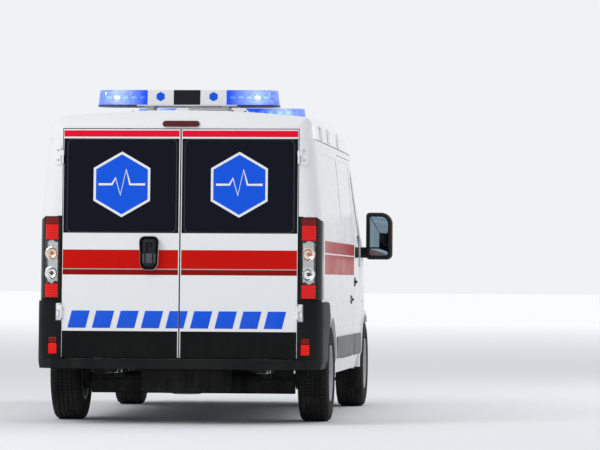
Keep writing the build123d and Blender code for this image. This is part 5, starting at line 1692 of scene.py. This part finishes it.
# Seats: moulded foam pads under a fitted woven cover with sewn channels, on moulded bases with
# slide rails. Each head pad stands on two steel posts.
seat_places = ((-0.430, 0.500, "driver"), (0.280, 0.440, "middle"), (0.695, 0.370, "outer"))
seat_width = 0.480
seat_rear, seat_front = 0.7165, 1.1065
seat_base_rear, seat_base_front = 0.6465, 1.0865
seat_top, seat_foot = 0.960, 0.862
base_foot, base_edge, base_rim, base_dip = 0.560, 0.014, 0.030, 0.008
rail_share, rail_half, rail_foot, rail_top, rail_edge = 0.7, 0.018, 0.540, 0.562, 0.003
post_x, post_behind, post_sunk, post_length, post_radius = 0.060, 0.038, 0.030, 0.090, 0.006
back_top = 1.480
back_lean = math.radians(7.7)
cushion_corner = (seat_rear + 0.010, seat_foot + 0.006)
cushion_seams, back_seams = (0.860, 0.990), (1.130, 1.300)
middle_edge, cushion_edge, back_edge, head_edge = 0.020, 0.028, 0.024, 0.026
cover_slack, cover_pressure, cloth_steps = 0.014, 4, 20
pad_voxel, pad_smoothing = 0.009, 6
seam_depth, seam_half_width = 0.005, 0.006
cover_grey = (0.055, 0.060, 0.070)
thread_dark, thread_pale = (0.035, 0.040, 0.050), (0.085, 0.092, 0.105)
weave_scale = 130


def pad(*blocks):
    """A foam pad in its cover: blocks are merged, swelled by cloth pressure and held near their form."""
    piece = join(*blocks)
    merge = piece.modifiers.new("merge", "REMESH")
    merge.mode = "VOXEL"
    merge.voxel_size = pad_voxel
    soften = piece.modifiers.new("soften", "SMOOTH")
    soften.iterations = pad_smoothing
    for modifier in ("merge", "soften"):
        bpy.ops.object.modifier_apply(modifier=modifier)
    start = [corner.co.copy() for corner in piece.data.vertices]
    cover = piece.modifiers.new("cover", "CLOTH")
    cover.settings.use_pressure = True
    cover.settings.uniform_pressure_force = cover_pressure
    cover.settings.effector_weights.gravity = 0
    cover.point_cache.frame_start = 1
    cover.point_cache.frame_end = cloth_steps
    for moment in range(1, cloth_steps + 1):
        bpy.context.scene.frame_set(moment)
    bpy.ops.object.modifier_apply(modifier="cover")
    bpy.context.scene.frame_set(1)
    for corner, place in zip(piece.data.vertices, start):
        shift = corner.co - place
        if shift.length > cover_slack:
            corner.co = place + shift.normalized() * cover_slack
    return piece


def sew(piece, seams):
    """Presses sewn channels into a pad. Each has an axis, its place along it, and the side that shows it."""
    for corner in piece.data.vertices:
        for axis, line, outward in seams:
            if corner.normal.dot(outward) > 0.5:
                off = (corner.co[axis] - line) / seam_half_width
                corner.co -= corner.normal * seam_depth * math.exp(-off * off)
    finer = piece.modifiers.new("finer", "SUBSURF")
    finer.levels = finer.render_levels = 1
    bpy.ops.object.modifier_apply(modifier="finer")
    return piece


def bolstered(half, corners, bolster, bolster_corners, edge, seam_x, axis, places, outward):
    """A sewn pad with a bolster each side of its middle. Corners are (Y, Z) pairs, low and high."""
    (low, high), (bolster_low, bolster_high) = corners, bolster_corners
    blocks = [block((-half, *low), (half, *high), middle_edge)]
    for side in (-1, 1):
        inner, outer = sorted(side * x for x in bolster)
        blocks.append(block((inner, *bolster_low), (outer, *bolster_high), edge, 4))
    lengthwise = [(0, seam_x, outward), (0, -seam_x, outward)]
    return sew(pad(*blocks), lengthwise + [(axis, place, outward) for place in places])


def seat_pads():
    """The three pads of one seat about X = 0: the cushion, the back and the head pad."""
    half = seat_width / 2
    up, toward = Vector((0, 0, 1)), Vector((0, 1, 0))
    cushion = bolstered(
        half - 0.075, (cushion_corner, (seat_front - 0.012, seat_top - 0.018)),
        (half - 0.085, half - 0.008), (cushion_corner, (seat_front - 0.014, seat_top - 0.008)),
        cushion_edge, half - 0.080, 1, cushion_seams, up,
    )
    back = bolstered(
        half - 0.080, ((seat_rear - 0.062, seat_top + 0.006), (seat_rear - 0.012, back_top - 0.008)),
        (half - 0.090, half - 0.012),
        ((seat_rear - 0.064, seat_top + 0.006), (seat_rear - 0.004, back_top - 0.012)),
        back_edge, half - 0.085, 2, back_seams, toward,
    )
    head = block(
        (-0.130, seat_rear - 0.066, back_top + 0.028), (0.130, seat_rear - 0.010, back_top + 0.152),
        head_edge, 4,
    )
    head = sew(pad(head), [(2, back_top + 0.090, toward)])
    for piece in (back, head):
        turned(piece, back_lean, "X", (0, seat_rear, seat_top))
    return ("cushion", cushion, 0.7), ("back", back, 0.65), ("head", head, 0.8)


def seat_frame(x, width, name):
    """The moulded base with a recessed side, its two rails, and the posts of the head pad."""
    half = width / 2 - 0.018
    base = block(
        (x - half, seat_base_rear, base_foot), (x + half, seat_base_front, seat_foot + 0.002), base_edge, 3
    )
    pick(base, lambda centre, normal: abs(normal.x) > 0.99 or abs(normal.y) > 0.99)
    bpy.ops.mesh.inset(thickness=base_rim, depth=-base_dip)
    close_edit()
    steel = []
    for side in (-1, 1):
        middle = x + side * half * rail_share
        low = (middle - rail_half, seat_base_rear, rail_foot)
        steel.append(block(low, (middle + rail_half, seat_base_front, rail_top), rail_edge))
    for side in (-1, 1):
        foot = Vector((x + side * post_x, seat_rear - post_behind, back_top - post_sunk))
        post = rod_along([foot, foot + Vector((0, 0, post_length))], post_radius)
        steel.append(turned(post, back_lean, "X", (0, seat_rear, seat_top)))
    fitted(base, f"seat_base_{name}", "body", dash_grain)
    fitted(join(*steel), f"seat_steel_{name}", "body", zinc)
    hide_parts("seats")


def woven_cover():
    """A dark woven cover: two crossed thread waves lift the surface and shift its shade."""
    material = finish("woven_cover", cover_grey, Sheen_Weight=0.3, Specular_IOR_Level=0.2)
    tree = material.node_tree
    weave = both(tree, waves(tree, weave_scale, "X"), waves(tree, weave_scale, "DIAGONAL"))
    weather(material, over(tree, thread_dark, thread_pale, weave), 0.8, 0.95, 0.3, 0.0, 500, 0.3, 7)
    bump = add_node(tree, "ShaderNodeBump", in_Strength=0.35, in_Distance=0.0008, in_Height=weave)
    return wire(material, Normal=bump.outputs[0])


cover_cloth = woven_cover()
pads = seat_pads()
for x, width, name in seat_places:
    seat_frame(x, width, name)
    for part, source, fill in pads:
        piece = object_of(part, source.data.copy())
        narrow = 1 if part == "head" else (width - 0.020) / seat_width
        piece.data.transform(Matrix.Translation((x, 0, 0)) @ Matrix.Scale(narrow, 4, (1, 0, 0)))
        fitted(piece, f"seat_{part}_{name}", "body", cover_cloth, angle=60)
        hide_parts("seats")
for part, source, fill in pads:
    bpy.data.objects.remove(source)
